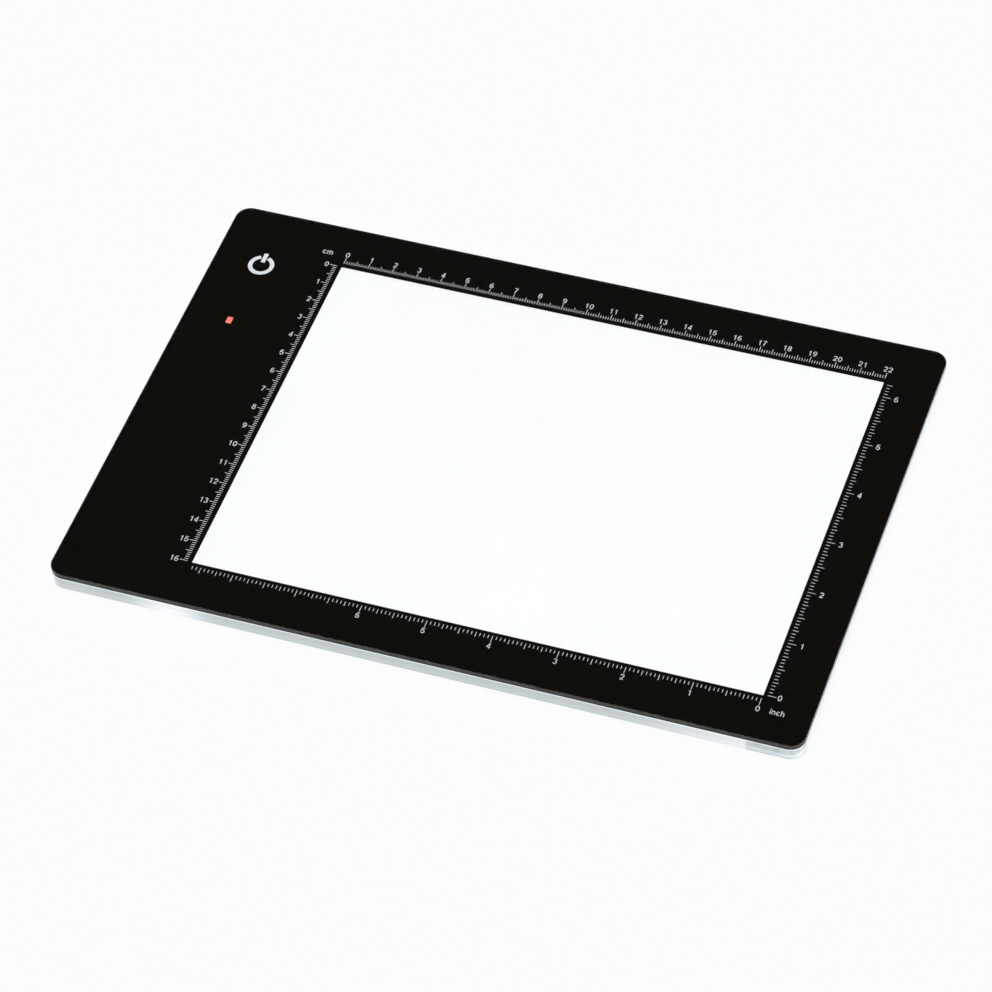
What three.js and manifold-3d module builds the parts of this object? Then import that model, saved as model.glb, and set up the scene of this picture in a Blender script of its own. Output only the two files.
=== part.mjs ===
// A slim battery light box for tracing and for viewing slides: an edge-lit light guide under an
// opal sheet, shut in a clear acrylic body between a printed clear cover and a white back plate.
// Millimetres, +Z up. The origin is the centre of the outline on the surface that the feet stand on.
// +X runs along the long side, from the switch end to the window end, and +Y runs to the rear edge.

import * as THREE from "three";
import * as BufferGeometryUtils from "three/addons/utils/BufferGeometryUtils.js";
import Module from "manifold-3d";

const wasm = await Module();
wasm.setup();

// ---- driving dimensions -------------------------------------------------------------------------

const RULE = { x: 220, y: 160 }; // lengths of the centimetre scales beside the window
const WINDOW_EASE = { x: 0.4, y: 0.3 }; // the window is this much larger than its scales
const SWITCH_BORDER = 50.2; // printed border that holds the switch, at the left
const BORDER = 20.35; // printed border on the other three sides
const CORNER_R = 6; // outline corners

const FOOT_T = 0.8;
const BODY_T = 5.7;
const TAPE_T = 0.08;
const MASK_T = 0.2;
const MASK_GAP = 0.02; // the film lies this far below the cover
const COVER_T = 2;
const COVER_BEVEL = 0.25;
const BODY_BEVEL = 0.2;
const BACK_T = 1;
const REFLECTOR_T = 0.2;
const GUIDE_T = 4;
const DIFFUSER_T = 0.5;
const CLEAR = 0.3; // gap round a loose piece
const TOUCH = 0.1; // gap between pieces that are soldered or butted

const LEDS_PER_BAR = 10;
const LED_PITCH = 16;
const CORNER_STEPS = 20; // facets on each rounded corner

// ---- sizes that follow from them ------------------------------------------------------------------

const WINDOW = { x: RULE.x + WINDOW_EASE.x, y: RULE.y + WINDOW_EASE.y };
const OUTER = { x: WINDOW.x + SWITCH_BORDER + BORDER, y: WINDOW.y + 2 * BORDER };
const WINDOW_X = (SWITCH_BORDER - BORDER) / 2; // the window sits off centre, away from the switch

const BODY_Z = FOOT_T;
const FLOOR_Z = BODY_Z + BACK_T; // top of the back plate
const BODY_TOP = BODY_Z + BODY_T;
const MASK_Z = BODY_TOP + TAPE_T;
const COVER_Z = MASK_Z + MASK_T + MASK_GAP;

const GUIDE = { x: WINDOW.x + 5, y: WINDOW.y + 5 };
const GUIDE_Z = FLOOR_Z + REFLECTOR_T;
const LED = { t: 0.8, w: 3.5, h: 2.8 };
const BAR = { t: 1, w: GUIDE.y - 10, h: GUIDE_T - 0.2 };
const LED_GAP = 0.2; // air between an LED and the end of the light guide
const BAR_BACK = 0.5; // room behind each LED bar

const END_ROOM = LED_GAP + LED.t + BAR.t + BAR_BACK;
const LIGHT_POCKET = {
  x0: WINDOW_X - GUIDE.x / 2 - END_ROOM,
  x1: WINDOW_X + GUIDE.x / 2 + END_ROOM,
  y0: -GUIDE.y / 2 - CLEAR,
  y1: GUIDE.y / 2 + 2, // a wiring channel runs behind the light guide
};
const CHANNEL_Y = (GUIDE.y / 2 + LIGHT_POCKET.y1) / 2 + 0.1;
const CELL_POCKET = { x0: -139, x1: -106, y0: -86, y1: 86, r: 3 };

const RIM = 3; // width of the body's rim outside the back plate
const SCREW = { x: OUTER.x / 2 - 10.5, y: OUTER.y / 2 - 8, headR: 1.9, shankR: 0.8, length: 4.6 };
const FOOT = { x: OUTER.x / 2 - 23, y: OUTER.y / 2 - 20, r: 5, bevel: 0.2 };

const SWITCH = { x: -126.3, y: 72 }; // centre of the touch switch
const INDICATOR = { x: -127.35, y: 40.65, w: 2.3, d: 3.5 };

const BOARD = { x0: -137, x1: -108.5, y0: 30, y1: 85.5, t: 0.8, tongueW: 12, tongueY: 98.1 };
const BOARD_TAPE_T = 0.3;
const BOARD_Z = FLOOR_Z + BOARD_TAPE_T;
const BOARD_TOP = BOARD_Z + BOARD.t;
const USB = { x: SWITCH.x, w: 7.5, h: 2.5, wall: 0.3, y0: 95, y1: OUTER.y / 2 - 0.2, slant: 0.8 };
const CELL = { x: -122.5, y: -36, w: 28, d: 88, h: 3.9, tapeT: 0.3 };

// ---- helpers ----------------------------------------------------------------------------------------

const group = new THREE.Group();

function finish(color, roughness, metalness = 0, opacity = 1) {
  return new THREE.MeshStandardMaterial({
    color, roughness, metalness, opacity, transparent: opacity < 1,
  });
}

const FINISH = {
  clearAcrylic: finish(0xdfe9ec, 0.05, 0, 0.35),
  blackPrint: finish(0x0b0b09, 0.3),
  clearTape: finish(0xe4e6e6, 0.4),
  opalSheet: finish(0xffffff, 0.5),
  whitePlastic: finish(0xe6e8e8, 0.5),
  whiteFilm: finish(0xf6f6f4, 0.35),
  rubber: finish(0x1c1c1c, 0.9),
  steel: finish(0xb9bcbf, 0.35, 1),
  whiteBoard: finish(0xe9ebe4, 0.5),
  greenBoard: finish(0x1c5a34, 0.45),
  phosphor: finish(0xf2d64a, 0.4),
  blackPlastic: finish(0x17181a, 0.45),
  ferrite: finish(0x3a3b3d, 0.6),
  ceramicChip: finish(0xb79a74, 0.5),
  foilPouch: finish(0xb8bcc0, 0.3, 1),
  foam: finish(0x303236, 0.95),
  amberFilm: finish(0xc07a28, 0.4),
  redLens: finish(0xe06a5c, 0.3, 0, 0.8),
  redWire: finish(0xb3201c, 0.5),
  blackWire: finish(0x1a1a1a, 0.5),
  whiteNylon: finish(0xe8e6dc, 0.5),
};

/** Names a geometry, gives it a finish and adds it to the light box. */
function add(name, geometry, material, x = 0, y = 0, z = 0) {
  const mesh = new THREE.Mesh(geometry, material);
  mesh.name = name;
  mesh.position.set(x, y, z);
  group.add(mesh);
  return mesh;
}

/** A rectangle with rounded corners, centred on (x, y), as a closed outline. */
function roundedOutline(w, d, r, x = 0, y = 0, Path = THREE.Shape) {
  const outline = new Path();
  const [hx, hy] = [w / 2 - r, d / 2 - r];
  outline.moveTo(x - hx, y - hy - r);
  outline.absarc(x + hx, y - hy, r, -Math.PI / 2, 0, false);
  outline.absarc(x + hx, y + hy, r, 0, Math.PI / 2, false);
  outline.absarc(x - hx, y + hy, r, Math.PI / 2, Math.PI, false);
  outline.absarc(x - hx, y - hy, r, Math.PI, Math.PI * 1.5, false);
  return outline;
}

/** A sharp-cornered rectangle from two corners, as a closed outline. */
function rectOutline(x0, y0, x1, y1, Path = THREE.Shape) {
  const outline = new Path();
  outline.moveTo(x0, y0);
  outline.lineTo(x1, y0);
  outline.lineTo(x1, y1);
  outline.lineTo(x0, y1);
  outline.closePath();
  return outline;
}

/** A slab of an outline from z0 to z1. A bevel narrows its top and bottom edges by as much. */
function slab(outline, z0, z1, bevel = 0) {
  const geometry = new THREE.ExtrudeGeometry(outline, {
    depth: z1 - z0 - 2 * bevel,
    bevelEnabled: bevel > 0,
    bevelThickness: bevel,
    bevelSize: bevel,
    bevelOffset: -bevel,
    bevelSegments: 1,
    curveSegments: CORNER_STEPS,
  });
  return geometry.translate(0, 0, z0 + bevel);
}

/** A box from its two far corners. */
function block(x0, y0, z0, x1, y1, z1) {
  const geometry = new THREE.BoxGeometry(x1 - x0, y1 - y0, z1 - z0);
  return geometry.translate((x0 + x1) / 2, (y0 + y1) / 2, (z0 + z1) / 2);
}

/** A turned piece about +Z, from [radius, z] points that start and end on the axis. */
function turned(points, segments = 24) {
  const profile = points.map(([r, z]) => new THREE.Vector2(r, z));
  return new THREE.LatheGeometry(profile, segments).rotateX(Math.PI / 2);
}

/** A disc of one radius from z0 to z1. */
function disc(r, z0, z1, segments = 24) {
  return turned([[0, z0], [r, z0], [r, z1], [0, z1]], segments);
}

/** A closed geometry as a solid that can be joined and cut. */
function solid(geometry) {
  const bare = geometry.clone();
  bare.deleteAttribute("normal");
  bare.deleteAttribute("uv");
  const merged = BufferGeometryUtils.mergeVertices(bare, 1e-4);
  return new wasm.Manifold(new wasm.Mesh({
    numProp: 3,
    vertProperties: new Float32Array(merged.attributes.position.array),
    triVerts: new Uint32Array(merged.index.array),
  }));
}

/** A geometry with other geometries cut out of it. */
function cut(geometry, tools) {
  let body = solid(geometry);
  for (const tool of tools) {
    body = body.subtract(solid(tool));
  }
  const mesh = body.getMesh();
  const result = new THREE.BufferGeometry();
  result.setAttribute("position", new THREE.BufferAttribute(mesh.vertProperties, 3));
  result.setIndex(new THREE.BufferAttribute(mesh.triVerts, 1));
  result.computeVertexNormals();
  return result;
}

/** The four points at plus and minus x and y, with the names of their corners. */
function corners({ x, y }) {
  return [
    ["front_left", -x, -y],
    ["front_right", x, -y],
    ["rear_left", -x, y],
    ["rear_right", x, y],
  ];
}

// ---- casing -----------------------------------------------------------------------------------------

/** The clear cover: bevelled round its upper edge and square below, where the print lies. */
function buildCover() {
  const outline = roundedOutline(OUTER.x, OUTER.y, CORNER_R);
  const thick = slab(outline, COVER_Z - 1, COVER_Z + COVER_T, COVER_BEVEL);
  const below = block(-OUTER.x, -OUTER.y, COVER_Z - 2, OUTER.x, OUTER.y, COVER_Z);
  add("cover_sheet", cut(thick, [below]), FINISH.clearAcrylic);
}

/** The black film under the cover, open at the window and at the indicator. */
function buildMask() {
  const inset = 0.2;
  const outline = roundedOutline(OUTER.x - 2 * inset, OUTER.y - 2 * inset, CORNER_R - inset);
  const [hx, hy] = [WINDOW.x / 2, WINDOW.y / 2];
  outline.holes.push(rectOutline(WINDOW_X - hx, -hy, WINDOW_X + hx, hy, THREE.Path));
  const { x, y, w, d } = INDICATOR;
  outline.holes.push(rectOutline(x - w / 2, y - d / 2, x + w / 2, y + d / 2, THREE.Path));
  add("mask_film", slab(outline, MASK_Z, MASK_Z + MASK_T), FINISH.blackPrint);
}

/** The tape that bonds the cover to the body, open over both pockets. */
function buildTape() {
  const inset = 0.5;
  const outline = roundedOutline(OUTER.x - 2 * inset, OUTER.y - 2 * inset, CORNER_R - inset);
  const { x0, x1, y0, y1 } = LIGHT_POCKET;
  outline.holes.push(rectOutline(x0 - inset, y0 - inset, x1 + inset, y1 + inset, THREE.Path));
  const cell = CELL_POCKET;
  outline.holes.push(rectOutline(cell.x0 - inset, cell.y0 - inset, cell.x1 + inset, cell.y1 + inset,
    THREE.Path));
  add("bonding_tape", slab(outline, BODY_TOP, MASK_Z), FINISH.clearTape);
}

/** The clear body: a slab with pockets for the light guide, the cell and the board. */
function buildBody() {
  const outer = slab(roundedOutline(OUTER.x, OUTER.y, CORNER_R), BODY_Z, BODY_TOP, BODY_BEVEL);
  const rebate = roundedOutline(OUTER.x - 2 * RIM + 2 * CLEAR, OUTER.y - 2 * RIM + 2 * CLEAR, 3);
  const [low, high] = [FLOOR_Z - 0.5, BODY_TOP + 1];
  const light = LIGHT_POCKET;
  const cell = CELL_POCKET;
  const cellOutline = roundedOutline(cell.x1 - cell.x0, cell.y1 - cell.y0, cell.r,
    (cell.x0 + cell.x1) / 2, (cell.y0 + cell.y1) / 2);
  const bayHalf = BOARD.tongueW / 2 + 1;
  const bayEnd = BOARD.tongueY + 0.4;
  const mouthHalf = USB.w / 2 + CLEAR;
  const ribY = 60;
  const tools = [
    slab(rebate, BODY_Z - 1, FLOOR_Z),
    block(light.x0, light.y0, low, light.x1, light.y1, high),
    slab(cellOutline, low, high),
    // a bay for the board's tongue, and the socket's mouth in the rear wall behind it
    block(USB.x - bayHalf, cell.y1 - 1, FLOOR_Z, USB.x + bayHalf, bayEnd, high),
    block(USB.x - mouthHalf, bayEnd - 1, BOARD_TOP - CLEAR, USB.x + mouthHalf, OUTER.y,
      BOARD_TOP + USB.h + 2 * CLEAR),
    // passages for the two LED leads through the rib between the pockets
    block(cell.x1 - 1, ribY - 2.6, low, light.x0 + 1, ribY + 2.6, BOARD_TOP + 1.3),
    block(cell.x1 - 1, CHANNEL_Y - 0.5, low, light.x0 + 1, light.y1, high),
  ];
  for (const [, x, y] of corners(SCREW)) {
    const hole = disc(SCREW.shankR + 0.2, low, BODY_Z + SCREW.length + 0.3);
    tools.push(hole.translate(x, y, 0));
  }
  add("body_frame", cut(outer, tools), FINISH.clearAcrylic);
}

/** The back plate, set into the body's rebate, countersunk for its four screws. */
function buildBackPlate() {
  const outline = roundedOutline(OUTER.x - 2 * RIM, OUTER.y - 2 * RIM, 3);
  const sink = SCREW.headR + CLEAR;
  const through = SCREW.shankR + CLEAR;
  const tools = corners(SCREW).map(([, x, y]) => {
    const hole = turned([[0, -1], [sink, -1], [sink, 0], [through, BACK_T], [through, 2], [0, 2]]);
    return hole.translate(x, y, BODY_Z);
  });
  add("back_plate", cut(slab(outline, BODY_Z, FLOOR_Z), tools), FINISH.whitePlastic);
}

/** Countersunk cross-head screws that hold the back plate to the body. */
function buildScrews() {
  const { headR, shankR, length } = SCREW;
  const slot = { l: 2.2, w: 0.45, deep: 0.6 };
  const profile = [[0, 0], [headR, 0], [shankR, BACK_T], [shankR, length - 0.8], [0.1, length], [0, length]];
  const cross = [
    block(-slot.l / 2, -slot.w / 2, -1, slot.l / 2, slot.w / 2, slot.deep),
    block(-slot.w / 2, -slot.l / 2, -1, slot.w / 2, slot.l / 2, slot.deep),
  ];
  for (const [corner, x, y] of corners(SCREW)) {
    add(`screw_${corner}`, cut(turned(profile), cross), FINISH.steel, x, y, BODY_Z + 0.05);
  }
}

/** Round rubber feet on the back plate. */
function buildFeet() {
  const { r, bevel } = FOOT;
  for (const [corner, x, y] of corners(FOOT)) {
    const profile = [[0, 0], [r - bevel, 0], [r, bevel], [r, FOOT_T], [0, FOOT_T]];
    add(`foot_${corner}`, turned(profile, 32), FINISH.rubber, x, y, 0);
  }
}

// ---- light --------------------------------------------------------------------------------------------

/** The reflector, the light guide and the opal sheet, stacked on the back plate. */
function buildLightStack() {
  const [hx, hy] = [GUIDE.x / 2, GUIDE.y / 2];
  const layers = [
    ["reflector_sheet", FLOOR_Z, REFLECTOR_T, FINISH.whiteFilm],
    ["light_guide", GUIDE_Z, GUIDE_T, FINISH.clearAcrylic],
    ["diffuser_sheet", GUIDE_Z + GUIDE_T, DIFFUSER_T, FINISH.opalSheet],
  ];
  for (const [name, z, t, material] of layers) {
    add(name, block(WINDOW_X - hx, -hy, z, WINDOW_X + hx, hy, z + t), material);
  }
}

/** One LED bar at an end of the light guide. side is -1 at the left and 1 at the right. */
function buildLedBar(name, side) {
  const end = WINDOW_X + side * (GUIDE.x / 2 + LED_GAP);
  const middle = GUIDE_Z + GUIDE_T / 2;
  const barX = end + side * (LED.t + BAR.t / 2);
  add(`led_bar_${name}`, new THREE.BoxGeometry(BAR.t, BAR.w, BAR.h), FINISH.whiteBoard, barX, 0, middle);
  for (let i = 0; i < LEDS_PER_BAR; i++) {
    const y = (i - (LEDS_PER_BAR - 1) / 2) * LED_PITCH;
    const package_ = new THREE.BoxGeometry(LED.t, LED.w, LED.h);
    add(`led_${name}_${i + 1}`, package_, FINISH.phosphor, end + (side * LED.t) / 2, y, middle);
  }
}

/** Flat leads from the board to the LED bars: a short one, and one along the rear channel. */
function buildLedLeads() {
  const leftBarBack = WINDOW_X - GUIDE.x / 2 - LED_GAP - LED.t - BAR.t;
  const lead = { t: 0.2, y: 60, w: 4, z: BOARD_TOP + 0.4 };
  add("led_lead_left", block(BOARD.x1 - 3, lead.y - lead.w / 2, lead.z, leftBarBack - TOUCH,
    lead.y + lead.w / 2, lead.z + lead.t), FINISH.amberFilm);

  const backX = LIGHT_POCKET.x1 - BAR_BACK / 2; // in the room behind the right bar
  const t = 0.1;
  const route = new THREE.Shape();
  route.moveTo(BOARD.x1 - 3, CHANNEL_Y - t);
  route.lineTo(backX - t, CHANNEL_Y - t);
  route.lineTo(backX - t, BAR.w / 2 - 4);
  route.lineTo(backX + t, BAR.w / 2 - 4);
  route.lineTo(backX + t, CHANNEL_Y + t);
  route.lineTo(BOARD.x1 - 3, CHANNEL_Y + t);
  route.closePath();
  add("led_lead_right", slab(route, BOARD_TOP + TOUCH, BOARD_TOP + 2.6), FINISH.amberFilm);
}

// ---- electronics ----------------------------------------------------------------------------------------

/** The control board, taped to the back plate, with a tongue that carries the socket. */
function buildBoard() {
  const { x0, x1, y0, y1, t, tongueW, tongueY } = BOARD;
  const outline = new THREE.Shape();
  outline.moveTo(x0, y0);
  outline.lineTo(x1, y0);
  outline.lineTo(x1, y1);
  outline.lineTo(USB.x + tongueW / 2, y1);
  outline.lineTo(USB.x + tongueW / 2, tongueY);
  outline.lineTo(USB.x - tongueW / 2, tongueY);
  outline.lineTo(USB.x - tongueW / 2, y1);
  outline.lineTo(x0, y1);
  outline.closePath();
  add("board_tape", block(x0 + 2, y0 + 2, FLOOR_Z, x1 - 2, y1 - 2, BOARD_Z), FINISH.foam);
  add("control_board", slab(outline, BOARD_Z, BOARD_Z + t), FINISH.greenBoard);
}

/** The parts soldered to the control board. Each is [name, x, y, width, depth, height, finish]. */
function buildBoardParts() {
  const parts = [
    ["touch_controller", -132, 60, 3.9, 4.9, 1.4, FINISH.blackPlastic],
    ["led_driver", -114, 50, 3.9, 4.9, 1.4, FINISH.blackPlastic],
    ["charge_controller", -116, 74, 3.0, 3.0, 1.0, FINISH.blackPlastic],
    ["input_capacitor", -116, 80, 2.0, 3.2, 1.3, FINISH.ceramicChip],
    ["output_capacitor", -113, 42, 2.0, 3.2, 1.3, FINISH.ceramicChip],
    ["battery_socket", -122, 34.5, 8.0, 5.0, 2.4, FINISH.whiteNylon],
    ["indicator_led", INDICATOR.x, INDICATOR.y, 0.8, 1.6, 0.7, FINISH.phosphor],
  ];
  for (const [name, x, y, w, d, h, material] of parts) {
    add(name, new THREE.BoxGeometry(w, d, h), material, x, y, BOARD_TOP + h / 2);
  }
  add("power_inductor", disc(2.9, 0, 2.6), FINISH.ferrite, -121, 50, BOARD_TOP);
  add("touch_electrode", disc(5.2, 0, MASK_Z - BOARD_TOP - 0.05, 32), FINISH.foam,
    SWITCH.x, SWITCH.y, BOARD_TOP);
  const { x, y, w, d } = INDICATOR;
  const pipeBase = BOARD_TOP + 0.9;
  const pipe = slab(roundedOutline(w + 1.2, d + 1.2, 0.4), pipeBase, MASK_Z - 0.05);
  add("indicator_light_pipe", pipe, FINISH.redLens, x, y, 0);
}

/** The charging socket: a folded steel shell, open to the rear, round a contact tongue. */
function buildSocket() {
  const { x, w, h, wall, y0, y1, slant } = USB;
  const mouth = (inset, Path) => {
    const [hx, hz] = [w / 2 - inset, h - inset];
    const outline = new Path();
    outline.moveTo(-hx, hz);
    outline.lineTo(-hx, inset + slant);
    outline.lineTo(-hx + slant, inset);
    outline.lineTo(hx - slant, inset);
    outline.lineTo(hx, inset + slant);
    outline.lineTo(hx, hz);
    outline.closePath();
    return outline;
  };
  const stand = (outline, depth) => new THREE.ExtrudeGeometry(outline, { depth, bevelEnabled: false })
    .rotateX(Math.PI / 2);
  const outer = stand(mouth(0, THREE.Shape), y1 - y0);
  const hollow = stand(mouth(wall, THREE.Shape), y1 - y0).translate(0, wall, 0);
  add("usb_socket_shell", cut(outer, [hollow]), FINISH.steel, x, y1, BOARD_TOP + 0.05);
  const tongue = { w: 3.7, t: 0.6, short: 0.8 };
  add("usb_socket_tongue", new THREE.BoxGeometry(tongue.w, y1 - y0 - wall - tongue.short, tongue.t),
    FINISH.blackPlastic, x, (y0 + wall + TOUCH + y1 - tongue.short) / 2, BOARD_TOP + h * 0.6);
}

/** The pouch cell on its tape, its protection board and its two wires to the board. */
function buildBattery() {
  const { x, y, w, d, h, tapeT } = CELL;
  const z = FLOOR_Z + tapeT;
  const top = y + d / 2;
  add("battery_tape", block(x - 9, y - 36, FLOOR_Z, x + 9, y + 36, z), FINISH.foam);
  add("battery_cell", slab(roundedOutline(w, d, 2, x, y), z, z + h, 0.6), FINISH.foilPouch);
  const guard = { w: 22, d: 3.6, t: 0.8 };
  const guardY = top + 0.4 + guard.d / 2;
  add("battery_protection_board", new THREE.BoxGeometry(guard.w, guard.d, guard.t), FINISH.greenBoard,
    x, guardY, z + 1.6);

  const plug = { w: 6.6, d: 4.4, h: 2.0 };
  const plugY = BOARD.y0 - plug.d / 2 - 0.6;
  add("battery_plug", new THREE.BoxGeometry(plug.w, plug.d, plug.h), FINISH.whiteNylon,
    x + 0.5, plugY + 0.9, BOARD_TOP + 1.2);

  const wireR = 0.6;
  const start = guardY + guard.d / 2 + 0.2;
  const end = plugY + 0.9 - plug.d / 2 - 0.2;
  const wire = new THREE.Shape();
  wire.absarc(0, 0, wireR, 0, Math.PI * 2, false);
  for (const [name, side, material] of [["red", -1, FINISH.redWire], ["black", 1, FINISH.blackWire]]) {
    const route = new THREE.CatmullRomCurve3([
      new THREE.Vector3(x + side * 6, start, z + 1.8),
      new THREE.Vector3(x + side * 6, start + 2.2, z + 1.8),
      new THREE.Vector3(x + 0.5 + side * 1.2, end - 2.2, z + 2.4),
      new THREE.Vector3(x + 0.5 + side * 1.2, end, z + 2.4),
    ]);
    const lead = new THREE.ExtrudeGeometry(wire, {
      steps: 14, curveSegments: 8, bevelEnabled: false, extrudePath: route,
    });
    add(`battery_wire_${name}`, lead, material);
  }
}

buildCover();
buildMask();
buildTape();
buildBody();
buildBackPlate();
buildScrews();
buildFeet();
buildLightStack();
buildLedBar("left", -1);
buildLedBar("right", 1);
buildLedLeads();
buildBoard();
buildBoardParts();
buildSocket();
buildBattery();

export default group;
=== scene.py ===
"""Looks of a slim battery light box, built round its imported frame.

The casing, the light guide and the electronics come from the frame and get procedural finishes
here. The white print under the clear cover, which has no solid of its own, is made here as thin
inked shapes. Everything is in metres, in the row frame: +X to the window end, +Y to the rear, +Z up.
"""

import logging
import math
from dataclasses import dataclass, field
from enum import Enum
from typing import Any, Optional, Sequence, Union

import bpy
import numpy as np
from mathutils import Euler, Matrix, Vector
from mathutils.geometry import tessellate_polygon


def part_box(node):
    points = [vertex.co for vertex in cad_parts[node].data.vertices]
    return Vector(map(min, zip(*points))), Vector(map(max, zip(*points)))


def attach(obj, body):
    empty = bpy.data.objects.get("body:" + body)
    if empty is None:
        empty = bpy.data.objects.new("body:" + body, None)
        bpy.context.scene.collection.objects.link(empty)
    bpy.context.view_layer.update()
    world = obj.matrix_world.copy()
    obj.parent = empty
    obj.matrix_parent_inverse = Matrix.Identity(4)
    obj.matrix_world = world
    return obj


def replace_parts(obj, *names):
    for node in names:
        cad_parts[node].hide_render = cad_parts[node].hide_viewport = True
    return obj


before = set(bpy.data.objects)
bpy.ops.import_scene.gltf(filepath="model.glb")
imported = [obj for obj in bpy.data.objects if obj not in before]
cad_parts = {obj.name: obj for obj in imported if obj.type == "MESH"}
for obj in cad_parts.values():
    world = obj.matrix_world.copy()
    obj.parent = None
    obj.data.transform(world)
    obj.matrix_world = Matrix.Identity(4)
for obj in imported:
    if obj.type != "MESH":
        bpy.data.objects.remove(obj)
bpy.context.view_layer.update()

MM = 0.001
LOG = logging.getLogger("light_box")

Colour = tuple[float, float, float]
Number = Union[float, "Wire"]
Shape = tuple[np.ndarray, list]
"""A mesh's vertices, one to a row, and its faces."""
Slab = tuple[float, float]
"""The heights of a flat piece's lower and upper faces."""


# ---- shader building -----------------------------------------------------------------------------


def faded(tone: Colour, share: float) -> Colour:
    """A share of a tone's brightness."""
    red, green, blue = (share * channel for channel in tone)
    return red, green, blue


class Wire:
    """One shader socket. Arithmetic on it adds Math nodes to its tree."""

    def __init__(self, tree: bpy.types.NodeTree, socket: bpy.types.NodeSocket) -> None:
        """Wraps a socket.

        Args:
            tree: The node tree that new Math nodes go into.
            socket: The output socket to read.
        """
        self.tree = tree
        self.socket = socket

    def math(self, operation: str, *values: Number) -> "Wire":
        """Adds one Math node.

        Args:
            operation: The node's operation.
            values: Numbers or wires for its inputs, in order.

        Returns:
            The node's result.
        """
        node = self.tree.nodes.new("ShaderNodeMath")
        node.operation = operation
        for socket, value in zip(node.inputs, values):
            if isinstance(value, Wire):
                self.tree.links.new(value.socket, socket)
            else:
                socket.default_value = value
        return Wire(self.tree, node.outputs[0])

    def __add__(self, other: Number) -> "Wire":
        """Sum."""
        return self.math("ADD", self, other)

    def __sub__(self, other: Number) -> "Wire":
        """Difference."""
        return self.math("SUBTRACT", self, other)

    def __rsub__(self, other: Number) -> "Wire":
        """Difference from a number, so that 1 - mask works."""
        return self.math("SUBTRACT", other, self)

    def __mul__(self, other: Number) -> "Wire":
        """Product."""
        return self.math("MULTIPLY", self, other)

    __radd__ = __add__
    __rmul__ = __mul__

    def size(self) -> "Wire":
        """Absolute value."""
        return self.math("ABSOLUTE", self)

    def smooth(self, low: float, high: float) -> "Wire":
        """A smooth step from 0 at low to 1 at high."""
        node = self.tree.nodes.new("ShaderNodeMapRange")
        node.interpolation_type = "SMOOTHSTEP"
        node.inputs["From Min"].default_value = low
        node.inputs["From Max"].default_value = high
        self.tree.links.new(self.socket, node.inputs["Value"])
        return Wire(self.tree, node.outputs["Result"])


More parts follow.
